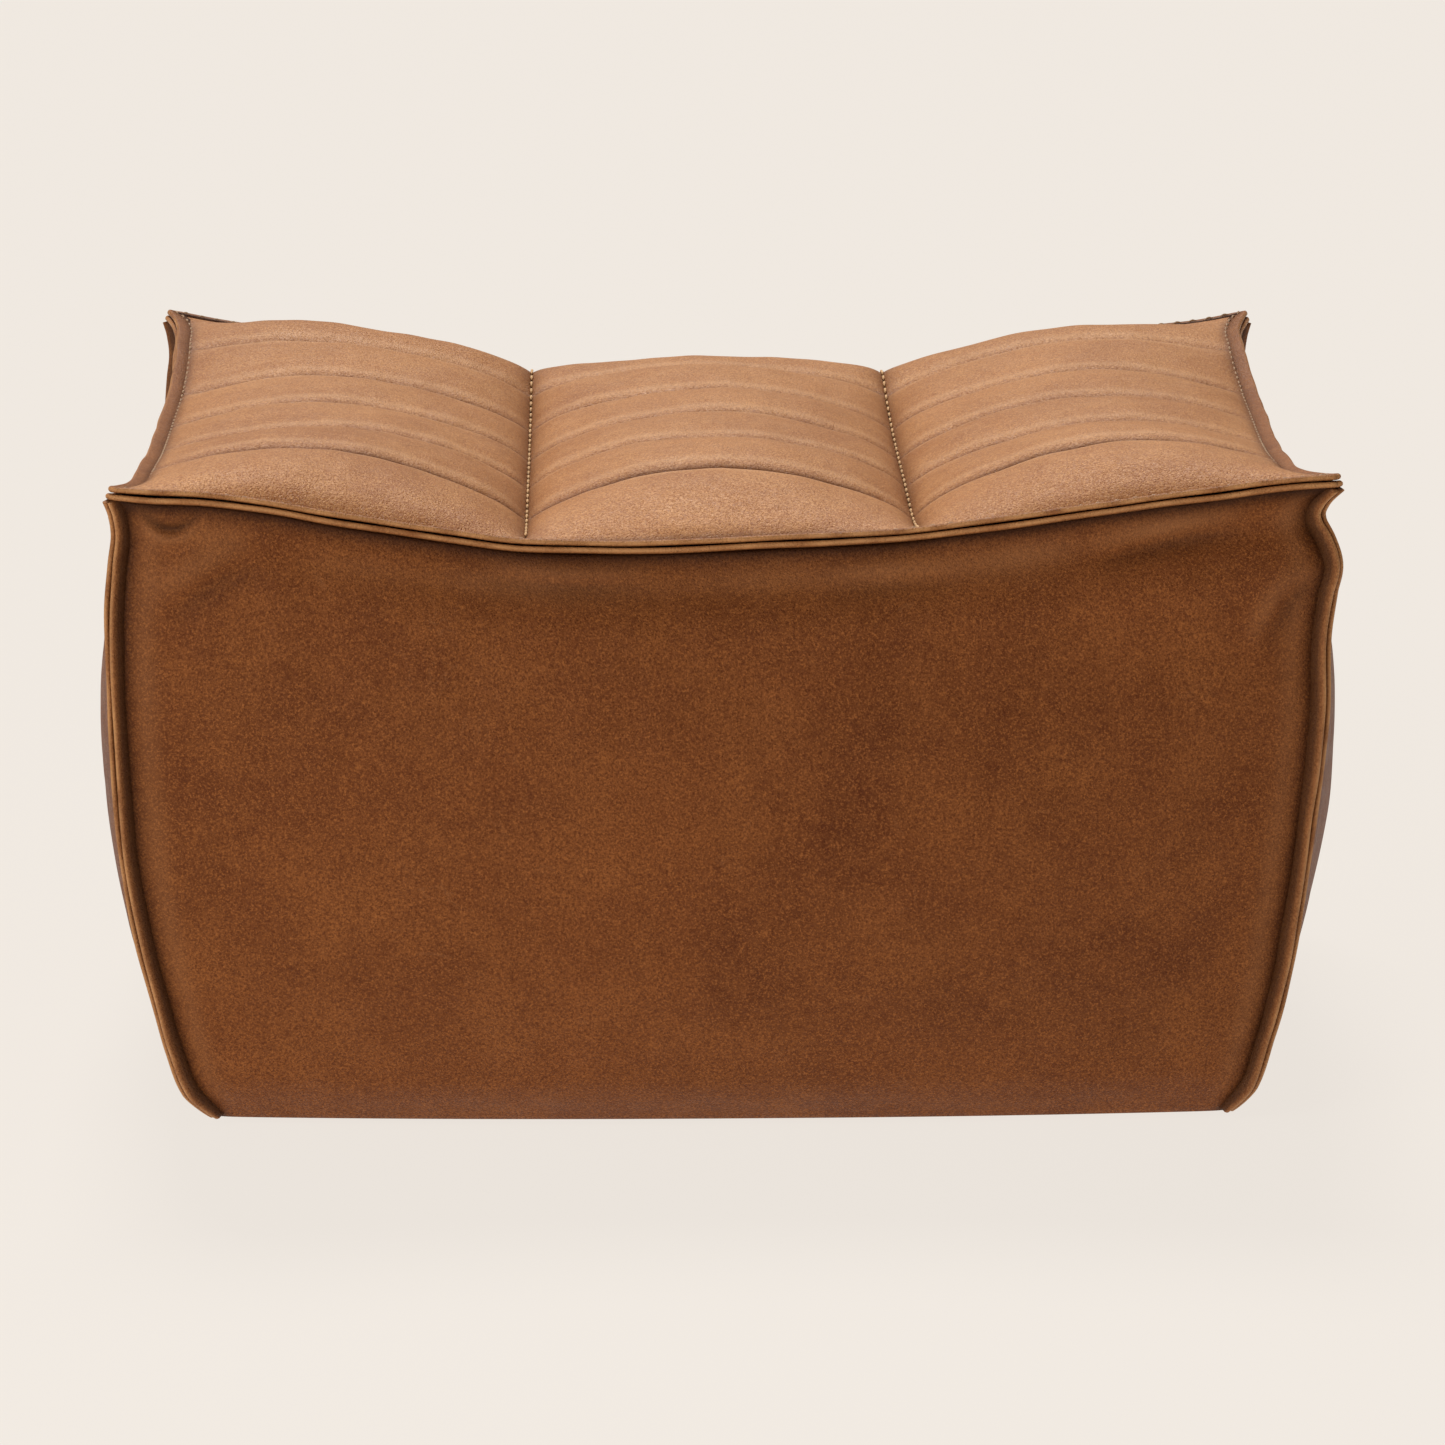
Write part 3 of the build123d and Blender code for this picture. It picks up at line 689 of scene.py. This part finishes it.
def timber_material(name, light, dark, along_grain):
    """Planed wood whose rings are stretched along one axis."""
    s = Shader(name)
    stretch = s.add("Mapping", Vector=s.coords, Scale=along_grain).outputs[0]
    rings = s.add("TexWave", {"wave_type": "RINGS"}, Vector=stretch, Scale=2.2, Distortion=6.0, Detail=3.0)
    fibres = s.noise(60, 8, 0.7, 0.4, vector=stretch)
    colour = s.mix(rings.outputs["Fac"], light, dark)
    colour = s.mix(s.math("MULTIPLY", fibres, 0.5), colour, dark)
    return s.finish(Base_Color=colour, Roughness=0.62, Normal=s.bump(fibres, 0.35, 0.0008))


def fibre_material(name, light, dark, scale, roughness=0.95):
    """Foam, wadding or cloth: a fine open texture with a soft, dusty sheen."""
    s = Shader(name)
    cells = s.cells(scale, "F1")
    tangle = s.noise(scale * 1.7, 6, 0.75, 1.2)
    colour = s.mix(s.math("MULTIPLY", cells, tangle), light, dark)
    normal = s.bump(cells, 0.6, 0.0012)
    return s.finish(Base_Color=colour, Roughness=roughness, Normal=s.bump(tangle, 0.4, 0.0008, normal))


def webbing_material():
    s = Shader("elastic_webbing")
    weave = s.add("TexWave", Vector=s.coords, Scale=130.0, Distortion=0.6)
    cross = s.add("TexWave", {"bands_direction": "Y"}, Vector=s.coords, Scale=130.0, Distortion=0.6)
    both = s.math("MULTIPLY", weave.outputs["Fac"], cross.outputs["Fac"])
    colour = s.mix(both, rgb(0.012, 0.012, 0.014), rgb(0.09, 0.09, 0.1))
    return s.finish(Base_Color=colour, Roughness=0.8, Normal=s.bump(both, 0.8, 0.0008))


# The top leather is paler than the side leather partly as its own tone and partly as painted light: a
# brighter top and darker sides for how the light falls
top_leather = leather_material(
    "top_leather",
    base=rgb(0.545, 0.240, 0.085),
    deep=rgb(0.310, 0.106, 0.029),
    pale=rgb(0.690, 0.350, 0.142),
    crease_colour=rgb(0.13, 0.042, 0.012),
    worn_and_highlight_colour=rgb(0.80, 0.48, 0.26),
    cloud_scale=6.0,
    specular=0.25,
)
side_leather = leather_material(
    "side_leather",
    base=rgb(0.235, 0.069, 0.0160),
    deep=rgb(0.110, 0.026, 0.0050),
    pale=rgb(0.370, 0.126, 0.031),
    crease_colour=rgb(0.020, 0.006, 0.002),
    worn_and_highlight_colour=rgb(0.40, 0.17, 0.065),
    cloud_scale=4.2,
    specular=0.14,
)
seam_leather = leather_material(
    "seam_leather",
    base=rgb(0.33, 0.118, 0.034),
    deep=rgb(0.20, 0.064, 0.017),
    pale=rgb(0.43, 0.175, 0.056),
    crease_colour=rgb(0.035, 0.011, 0.004),
    worn_and_highlight_colour=rgb(0.74, 0.385, 0.155),
    cloud_scale=12.0,
    specular=0.22,
)


# ---- Side panels ---------------------------------------------------------------------------------
def make_side(side):
    along, out, z, from_corner, below, folds = side_surface(side)
    points = place(side, along, out, z)
    held = np.zeros(z.shape, bool)
    held[:2], held[-2:], held[:, :2], held[:, -2:] = True, True, True, True
    points = settled(points, held, slack=0.003, most=2.6 * MM, stride=2)

    # the hem, turned under to the frame's lower face
    turn = np.linspace(0, 1, 14)[:-1, None]
    first_along, first_out = along[0], out[0]
    inner_out = 0.250 - (tip_x - half_depth(side))
    hem_out = inner_out + (first_out - 1.0 * MM - inner_out) * turn
    hem_along = first_along * hem_out / first_out
    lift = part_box("leather_front")[0].z - cover_bottom
    hem_z = cover_bottom + lift * np.clip((first_out - hem_out) / 0.012, 0, 1) ** 0.7
    points = np.concatenate([place(side, hem_along, hem_out, hem_z), points])

    def with_hem(field, value=0.0):
        return np.vstack([np.full((len(turn), field.shape[1]), value), field])

    seed = SIDES.index(side) * 10
    height = np.clip((z - cover_bottom) / 0.04, 0, 1)
    # Painted shadow in a band under the top seam, and painted shade beside the corner seams and in the
    # folds' furrows
    crease = np.exp(-((below / 0.0085) ** 2)) + np.exp(-((from_corner / 0.0075) ** 2))
    crease = crease + 0.28 * np.clip(-folds, 0, 3)
    # Pale bands 20 mm under the top edge, made patchy, and 16 mm from the corner seams; a painted highlight
    # on the folds' ridges
    patchiness = 0.5 + 0.5 * ripple(place(side, along, out, z), 0.09, seed + 5)
    wear = 0.35 * np.exp(-(((below - 0.020) / 0.010) ** 2)) * patchiness
    wear = wear + 0.30 * np.exp(-(((from_corner - 0.016) / 0.008) ** 2)) + 0.16 * np.clip(folds, 0, 3)
    piece = sheet_mesh(
        f"side_panel_{side}",
        points,
        crease=with_hem(np.clip(crease, 0, 1)),
        wear=with_hem(np.clip(wear, 0, 1) * height),
    )
    thicken(piece, LEATHER)
    finish_piece(piece, side_leather, "side_leather", f"leather_{side}")

    core = inward(place(side, along, out, z), 4.0 * MM)[11:-16:4, 13:-13:4]
    filling = sheet_mesh(f"side_pad_{side}", core)
    thicken(filling, 16 * MM)
    stands_for = [f"side_foam_{side}"] + (["wadding_wrap"] if side == "front" else [])
    finish_piece(filling, wadding, "polyester_wadding" if side == "front" else "foam", *stands_for)


# ---- Top panels ----------------------------------------------------------------------------------
def make_column(column):
    points, wavy_y, valley, from_low, from_high, from_end, loose = column_surface(column)
    to_line = np.abs(wavy_y[..., None] - QUILT_LINES).min(axis=-1)
    held = to_line < 2.2 * MM
    held[:2], held[-2:], held[:, :2], held[:, -2:] = True, True, True, True
    shape = points
    points = settled(points, held, slack=0.003, most=1.8 * MM, stride=3)

    # Painted shade along the quilt lines, at the front and back edges, along the side columns' outer edges
    # and down the column seam valleys
    crease = (0.7 * np.exp(-((to_line / 0.0025) ** 2)) + 0.27 * np.exp(-((to_line / 0.0065) ** 2))) * loose
    ends = 0.75 * np.exp(-((from_end / 0.0028) ** 2))
    if column == "left":
        ends = ends + 0.9 * np.exp(-((from_low / 0.0055) ** 2))
    if column == "right":
        ends = ends + 0.9 * np.exp(-((from_high / 0.0055) ** 2))
    crease = np.clip(crease + ends + 0.9 * np.minimum(valley, 1) ** 1.25, 0, 1)
    # A pale band on each strip's crest beside the quilt lines: partly wear and partly a painted highlight
    wear = 0.32 * np.exp(-(((to_line - 0.0125) / 0.0055) ** 2)) * loose
    piece = sheet_mesh(f"top_panel_{column}", points, crease=crease, wear=wear)
    thicken(piece, LEATHER)
    finish_piece(piece, top_leather, "top_leather", f"leather_top_{column}", f"quilt_backing_{column}")

    inner = shape[24:-24:6, 10:-10:3]
    filling = sheet_mesh(f"quilt_filling_{column}", inward(inner, 5.0 * MM))
    thicken(filling, 10 * MM)
    finish_piece(filling, wadding, "polyester_wadding", f"quilt_wadding_{column}")
    pad = sheet_mesh(f"column_pad_{column}", inward(inner, 15.5 * MM))
    thicken(pad, 22 * MM)
    finish_piece(pad, foam, "foam", f"column_foam_{column}")
    return points, wavy_y


# ---- Raised seams --------------------------------------------------------------------------------
NOSE_POINTS = 7


def lip_outline(width, thickness):
    """A folded leather edge in section, a little fatter at its fold: waist, nose, waist, root."""
    bend = np.linspace(-np.pi / 2, np.pi / 2, NOSE_POINTS)
    radius = thickness / 2
    nose = np.stack([width - radius + radius * np.cos(bend), radius * 1.08 * np.sin(bend)], axis=-1)
    waist = np.array([width * 0.45, radius * 0.86])
    root = np.array([[-0.005, radius * 0.8], [-0.005, -radius * 0.8]])
    return np.vstack([waist * (1, -1), nose, waist, root])


def raised_seam(name, path, outward, stack, seed, waist_crease, taper=1.0):
    """Two folded edges side by side along a path, each a little uneven, with a groove between them."""
    nose = np.linspace(-1, 1, NOSE_POINTS)
    # Painted shade on each lip's waists and root, where it turns into the groove and the panel
    crease = np.concatenate([[waist_crease], 0.25 * waist_crease * nose**2, [waist_crease, 1, 1]])
    # A pale band along each lip's nose: painted highlight, partly wear
    wear = np.concatenate([[0], 0.8 * np.exp(-((nose / 0.5) ** 2)), [0, 0, 0]])
    lips = []
    for number, sign in enumerate((-1, 1)):
        unevenness = ripple(path, 0.05, seed + number)
        gap = LIP_GAP * (1 + 0.3 * unevenness)
        centre = path + stack * (sign * (gap / 2 + LIP / 2))[:, None]
        centre = centre + stack * (0.35 * MM * ripple(path, 0.09, seed + 3))[:, None]
        width = (LIP_WIDTH + 0.5 * MM * ripple(path, 0.07, seed + 5 + number)) * taper
        profile = np.stack([lip_outline(w, LIP) for w in width])
        rubbed_and_lit = wear * np.clip(0.75 + 0.35 * ripple(path, 0.022, seed + 8 + number), 0, 1)[:, None]
        lips.append(sweep(f"{name}_{number}", centre, outward, stack, profile, crease=crease, wear=rubbed_and_lit))
    return joined(name, lips)


def tangents(path):
    return unit(np.gradient(path, axis=0))


def top_edge_loop(spacing=1.6 * MM, softness=3.0 * MM):
    """The top edge's root line all the way round, with small round corners, from the front left tip."""
    share = np.linspace(-1, 1, 1201)[:-1]
    runs = []
    for side in SIDES:
        out, z = edge_line(side, share)
        runs.append(place(side, share * half_length(side), out, z))
    loop = np.vstack(runs)
    steps = np.linalg.norm(np.diff(loop, axis=0, append=loop[:1]), axis=1)
    distance = np.concatenate([[0], np.cumsum(steps)])
    count = int(distance[-1] / spacing)
    at = np.linspace(0, distance[-1], count, endpoint=False)
    loop = np.stack([np.interp(at, distance, np.append(loop[:, k], loop[0, k])) for k in range(3)], axis=-1)
    offsets = np.arange(-8, 9)
    weights = np.exp(-0.5 * (offsets * spacing / softness) ** 2)
    weights /= weights.sum()
    rounded = sum(w * np.roll(loop, offset, axis=0) for w, offset in zip(weights, offsets))
    tangent = unit(np.roll(rounded, -1, axis=0) - np.roll(rounded, 1, axis=0))
    flat = unit(np.cross(tangent, [0, 0, 1]))
    backward = np.clip(flat[:, 1], 0, 1) ** 2
    rise = TILT * (1 - backward) + BACK_TILT * backward
    outward = unit(flat + rise[:, None] * np.array([0, 0, 1]))
    stack = unit(np.cross(outward, tangent))
    stack = stack * np.sign(stack[:, 2:])
    return rounded, outward, stack


def corner_path(corner, count=170):
    """A corner seam's root line, from the floor to just under the tip."""
    sx, sy = CORNERS[corner]
    t = np.linspace(0.004, 0.994, count)
    x, y, z = corner_at(corner, t)
    path = np.stack([sx * x, sy * y, z], axis=-1)
    diagonal = unit(np.array([sx, sy, 0.0]))
    outward = np.tile(diagonal, (count, 1))
    outward = unit(outward - tangents(path) * (outward * tangents(path)).sum(axis=1, keepdims=True) * 0.6)
    stack = np.tile(np.cross([0, 0, 1.0], diagonal), (count, 1))
    lower = np.clip((z - cover_bottom) / 0.020, 0, 1) ** 0.6
    upper = np.clip((z[-1] - z) / 0.012, 0, 1)
    return path, outward, stack, (0.35 + 0.65 * lower) * (0.85 + 0.15 * upper)


# ---- Stitches ------------------------------------------------------------------------------------
def stitch_run(name, runs, pitch, length, radius):
    """Short thread stitches along lines, each a little arched, dipping into the leather at its ends."""
    ring = np.linspace(0, 2 * np.pi, 7)[:-1]
    rng = np.random.default_rng(7)
    circles, faces, count = [], [], 0
    for path, up in runs:
        distance = np.concatenate([[0], np.cumsum(np.linalg.norm(np.diff(path, axis=0), axis=1))])
        for start in np.arange(pitch / 2, distance[-1] - length, pitch):
            t = np.linspace(0, 1, 6)
            at = start + rng.uniform(-0.05, 0.05) * pitch + t * length
            centre = np.stack([np.interp(at, distance, path[:, k]) for k in range(3)], axis=-1)
            normal = unit(np.stack([np.interp(at, distance, up[:, k]) for k in range(3)], axis=-1))
            side = unit(np.cross(unit(np.gradient(centre, axis=0)), normal))
            centre = centre + normal * (radius * (np.sin(t * np.pi) * 1.3 - 0.7))[:, None]
            girth = (radius * (0.5 + 0.5 * np.sin(t * np.pi) ** 0.5))[:, None, None]
            circle = centre[:, None] + side[:, None] * np.cos(ring)[:, None] * girth
            circle = circle + normal[:, None] * np.sin(ring)[:, None] * girth
            index = count + np.arange(36).reshape(6, 6)
            count += 36
            circles.append(circle.reshape(-1, 3))
            faces += quads_between(index, closed=True).tolist()
            faces += [index[0, ::-1].tolist(), index[-1].tolist()]
    return mesh_piece(name, np.vstack(circles), faces)


# ---- Assembly ------------------------------------------------------------------------------------
foam = fibre_material("foam", rgb(0.85, 0.80, 0.62), rgb(0.62, 0.55, 0.38), 500)
wadding = fibre_material("wadding", rgb(0.86, 0.86, 0.84), rgb(0.66, 0.66, 0.64), 260)
golden_thread = thread_material("golden_thread", rgb(0.95, 0.60, 0.27), rgb(0.72, 0.40, 0.15))
tan_thread = thread_material("tan_thread", rgb(0.50, 0.30, 0.15), rgb(0.36, 0.19, 0.08))

for side_name in SIDES:
    make_side(side_name)
panels = {column_name: make_column(column_name) for column_name in COLUMNS}

loop, loop_outward, loop_stack = top_edge_loop()
tips = [
    int(np.argmax(sx * loop[:, 0] / tip_x + sy * loop[:, 1] / tip_y)) for sx, sy in CORNERS.values()
]
for number, side_name in enumerate(SIDES):
    first, last = tips[number], tips[(number + 1) % 4]
    past_last = last + 1 if last > first else last + 1 + len(loop)
    span = np.arange(first, past_last) % len(loop)
    path = loop[span]
    to_tip = np.minimum(np.linalg.norm(path - path[0], axis=1), np.linalg.norm(path - path[-1], axis=1))
    narrowing = 1 - 0.42 * np.exp(-((to_tip / 0.014) ** 2))
    seam = raised_seam(
        f"raised_top_seam_{side_name}", path, loop_outward[span], loop_stack[span], 200, 0.12, narrowing
    )
    finish_piece(seam, seam_leather, "seam_leather", f"top_edge_seam_{side_name}")
# The corner seams' sides get heavy painted shade, the top seams' only a little
for number, corner_name in enumerate(CORNERS):
    root, outward, stack, taper = corner_path(corner_name)
    seam = raised_seam(
        f"raised_corner_seam_{corner_name}", root, outward, stack, 300 + 20 * number, 0.85, taper
    )
    finish_piece(seam, seam_leather, "seam_leather", f"corner_seam_{corner_name}")

UP = np.array([0.0, 0.0, 1.0])
SEAM_STITCHES_END = 0.292  # the column seams' thread stops short of the front and back seams
for seam_name in seam_x:
    border = panels[seam_name][0][:, -1 if seam_name == "left" else 0]
    border = border[np.abs(border[:, 1]) < SEAM_STITCHES_END] + UP * 1.5 * MM
    run = (border, np.tile(UP, (len(border), 1)))
    stitches = stitch_run(f"column_stitches_{seam_name}", [run], pitch=0.0165, length=0.0078, radius=0.00095)
    finish_piece(stitches, golden_thread, "stitch_thread")
for column_name, (points, wavy_y) in panels.items():
    runs = []
    for line in QUILT_LINES:
        rows = np.abs(wavy_y - line).argmin(axis=0)
        run = points[rows, np.arange(points.shape[1])][5:-5] + UP * 0.3 * MM
        runs.append((run, np.tile(UP, (len(run), 1))))
    stitches = stitch_run(f"quilt_stitches_{column_name}", runs, pitch=0.0055, length=0.0034, radius=0.00042)
    finish_piece(stitches, tan_thread, "stitch_thread")
edge_run = loop - loop_outward * 0.4 * MM + loop_stack * (LIP_LIFT + 1.1 * MM)
edge_stitches = stitch_run(
    "edge_stitches", [(edge_run, loop_stack)], pitch=0.0115, length=0.0062, radius=0.0008
)
finish_piece(edge_stitches, tan_thread, "stitch_thread")


def crowned_block(name, node, rounding, swell):
    """A foam block the size of a node, with soft edges and a slightly swollen top."""
    low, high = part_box(node)
    centre, size = (low + high) / 2, high - low
    block = bmesh.new()
    bmesh.ops.create_cube(block, size=1.0)
    bmesh.ops.subdivide_edges(block, edges=block.edges[:], cuts=14, use_grid_fill=True)
    for vertex in block.verts:
        spot = vertex.co.copy()
        for k in range(3):
            others = [abs(spot[j]) * 2 for j in range(3) if j != k]
            hold = max(0.0, max(others) - 0.86) / 0.14
            vertex.co[k] = spot[k] * (size[k] - rounding * hold**2)
        fading = (1 - abs(2 * spot.x) ** 2) * (1 - abs(2 * spot.y) ** 2)
        vertex.co.z += swell * max(0, spot.z) * 2 * fading
        vertex.co += centre
    mesh = bpy.data.meshes.new(name)
    block.to_mesh(mesh)
    block.free()
    mesh.shade_smooth()
    return link(bpy.data.objects.new(name, mesh))


core_block = crowned_block("seat_core_block", "seat_core_foam", 8 * MM, 2 * MM)
finish_piece(core_block, foam, "foam", "seat_core_foam")

# ---- Underside -----------------------------------------------------------------------------------
rows_across, rows_along = np.meshgrid(
    np.linspace(dust_low.x, dust_high.x, 90), np.linspace(dust_low.y, dust_high.y, 74)
)
grid = np.stack([rows_across, rows_along, np.full(rows_across.shape, dust_low.z)], axis=-1)
edge_distance = np.minimum(
    np.minimum(rows_across - dust_low.x, dust_high.x - rows_across),
    np.minimum(rows_along - dust_low.y, dust_high.y - rows_along),
)
slack = np.clip((edge_distance - 0.032) / 0.05, 0, 1)
grid[..., 2] += slack * (1.2 * MM + 1.0 * MM * ripple(grid, 0.12, 400))
dust_cover = sheet_mesh("dust_cover_cloth", grid, flip=True)
thicken(dust_cover, 0.5 * MM)
finish_piece(dust_cover, spunbond_material(), "dust_cover_fabric", "dust_cover")

# ---- Finishes for the CAD nodes that stay ---------------------------------------------------------
pine_x = timber_material("pine_across", rgb(0.66, 0.47, 0.27), rgb(0.48, 0.29, 0.14), (2.0, 30.0, 30.0))
pine_y = timber_material("pine_along", rgb(0.66, 0.47, 0.27), rgb(0.48, 0.29, 0.14), (30.0, 2.0, 30.0))
pine_z = timber_material("pine_upright", rgb(0.66, 0.47, 0.27), rgb(0.48, 0.29, 0.14), (30.0, 30.0, 2.0))
hardboard = timber_material("hardboard", rgb(0.30, 0.18, 0.10), rgb(0.20, 0.11, 0.06), (12.0, 12.0, 12.0))
webbing = webbing_material()
staple_steel = steel_material("staple_steel", rgb(0.62, 0.62, 0.62), 0.36)
zinc = steel_material("zinc", rgb(0.60, 0.56, 0.42), 0.32)
black_plastic = plastic_material()
FINISHES = [
    ("corner_post", pine_z),
    ("_rail_left", pine_y),
    ("_rail_right", pine_y),
    ("centre_rail", pine_y),
    ("_rail_", pine_x),
    ("hardboard", hardboard),
    ("staples", staple_steel),
    ("webbing", webbing),
    ("screws", zinc),
    ("glide", black_plastic),
]
for node_name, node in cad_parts.items():
    finish = next((material for part, material in FINISHES if part in node_name), None)
    if finish and not node.hide_render:
        node.data.materials.clear()
        node.data.materials.append(finish)

# ---- Stage ---------------------------------------------------------------------------------------
backdrop = rgb(0.871, 0.815, 0.753)
floor_mesh = bpy.data.meshes.new("floor")
floor_mesh.from_pydata([(-15, -12, 0), (15, -12, 0), (15, 30, 0), (-15, 30, 0)], [], [(0, 1, 2, 3)])
floor = link(bpy.data.objects.new("floor", floor_mesh))
floor_paint = bpy.data.materials.new("pale_floor")
floor_paint.use_nodes = True
nodes, links = floor_paint.node_tree.nodes, floor_paint.node_tree.links
nodes.remove(nodes["Principled BSDF"])
matt = nodes.new("ShaderNodeBsdfDiffuse")
matt.inputs["Color"].default_value = rgb(0.062, 0.058, 0.054)
glow = nodes.new("ShaderNodeEmission")
glow.inputs["Color"].default_value = backdrop
glow.inputs["Strength"].default_value = 0.925
both = nodes.new("ShaderNodeAddShader")
links.new(matt.outputs[0], both.inputs[0])
links.new(glow.outputs[0], both.inputs[1])
links.new(both.outputs[0], nodes["Material Output"].inputs["Surface"])
floor_mesh.materials.append(floor_paint)

world = bpy.data.worlds.new("studio")
world.use_nodes = True
world.node_tree.nodes["Background"].inputs["Color"].default_value = backdrop
world.node_tree.nodes["Background"].inputs["Strength"].default_value = 0.25
bpy.context.scene.world = world


def aimed(name, data, location, target):
    lamp = link(bpy.data.objects.new(name, data))
    lamp.location = location
    lamp.rotation_euler = (Vector(target) - Vector(location)).to_track_quat("-Z", "Y").to_euler()


overhead = bpy.data.lights.new("overhead", "SUN")
overhead.energy = 3.0
overhead.angle = np.radians(20)
overhead.color = (1.0, 0.985, 0.965)
aimed("overhead", overhead, (-0.25, 1.7, 3.0), (0, 0, 0.3))
fill = bpy.data.lights.new("front_left_fill", "AREA")
fill.shape = "RECTANGLE"
fill.size, fill.size_y = 1.6, 1.2
fill.energy = 42
fill.color = (1.0, 0.985, 0.965)
aimed("front_left_fill", fill, (-1.9, -2.4, 1.6), (0, 0, 0.3))

# ---- Camera --------------------------------------------------------------------------------------
camera_data = bpy.data.cameras.new("camera")
camera_data.lens = 178.4
camera_data.sensor_width = 36.0
camera = link(bpy.data.objects.new("camera", camera_data))
camera.location = (-0.084, -4.633, 1.242)
camera.rotation_euler = (np.radians(90 - 12.68), 0, -np.radians(1.09))
bpy.context.scene.camera = camera
bpy.context.scene.view_settings.view_transform = "Standard"
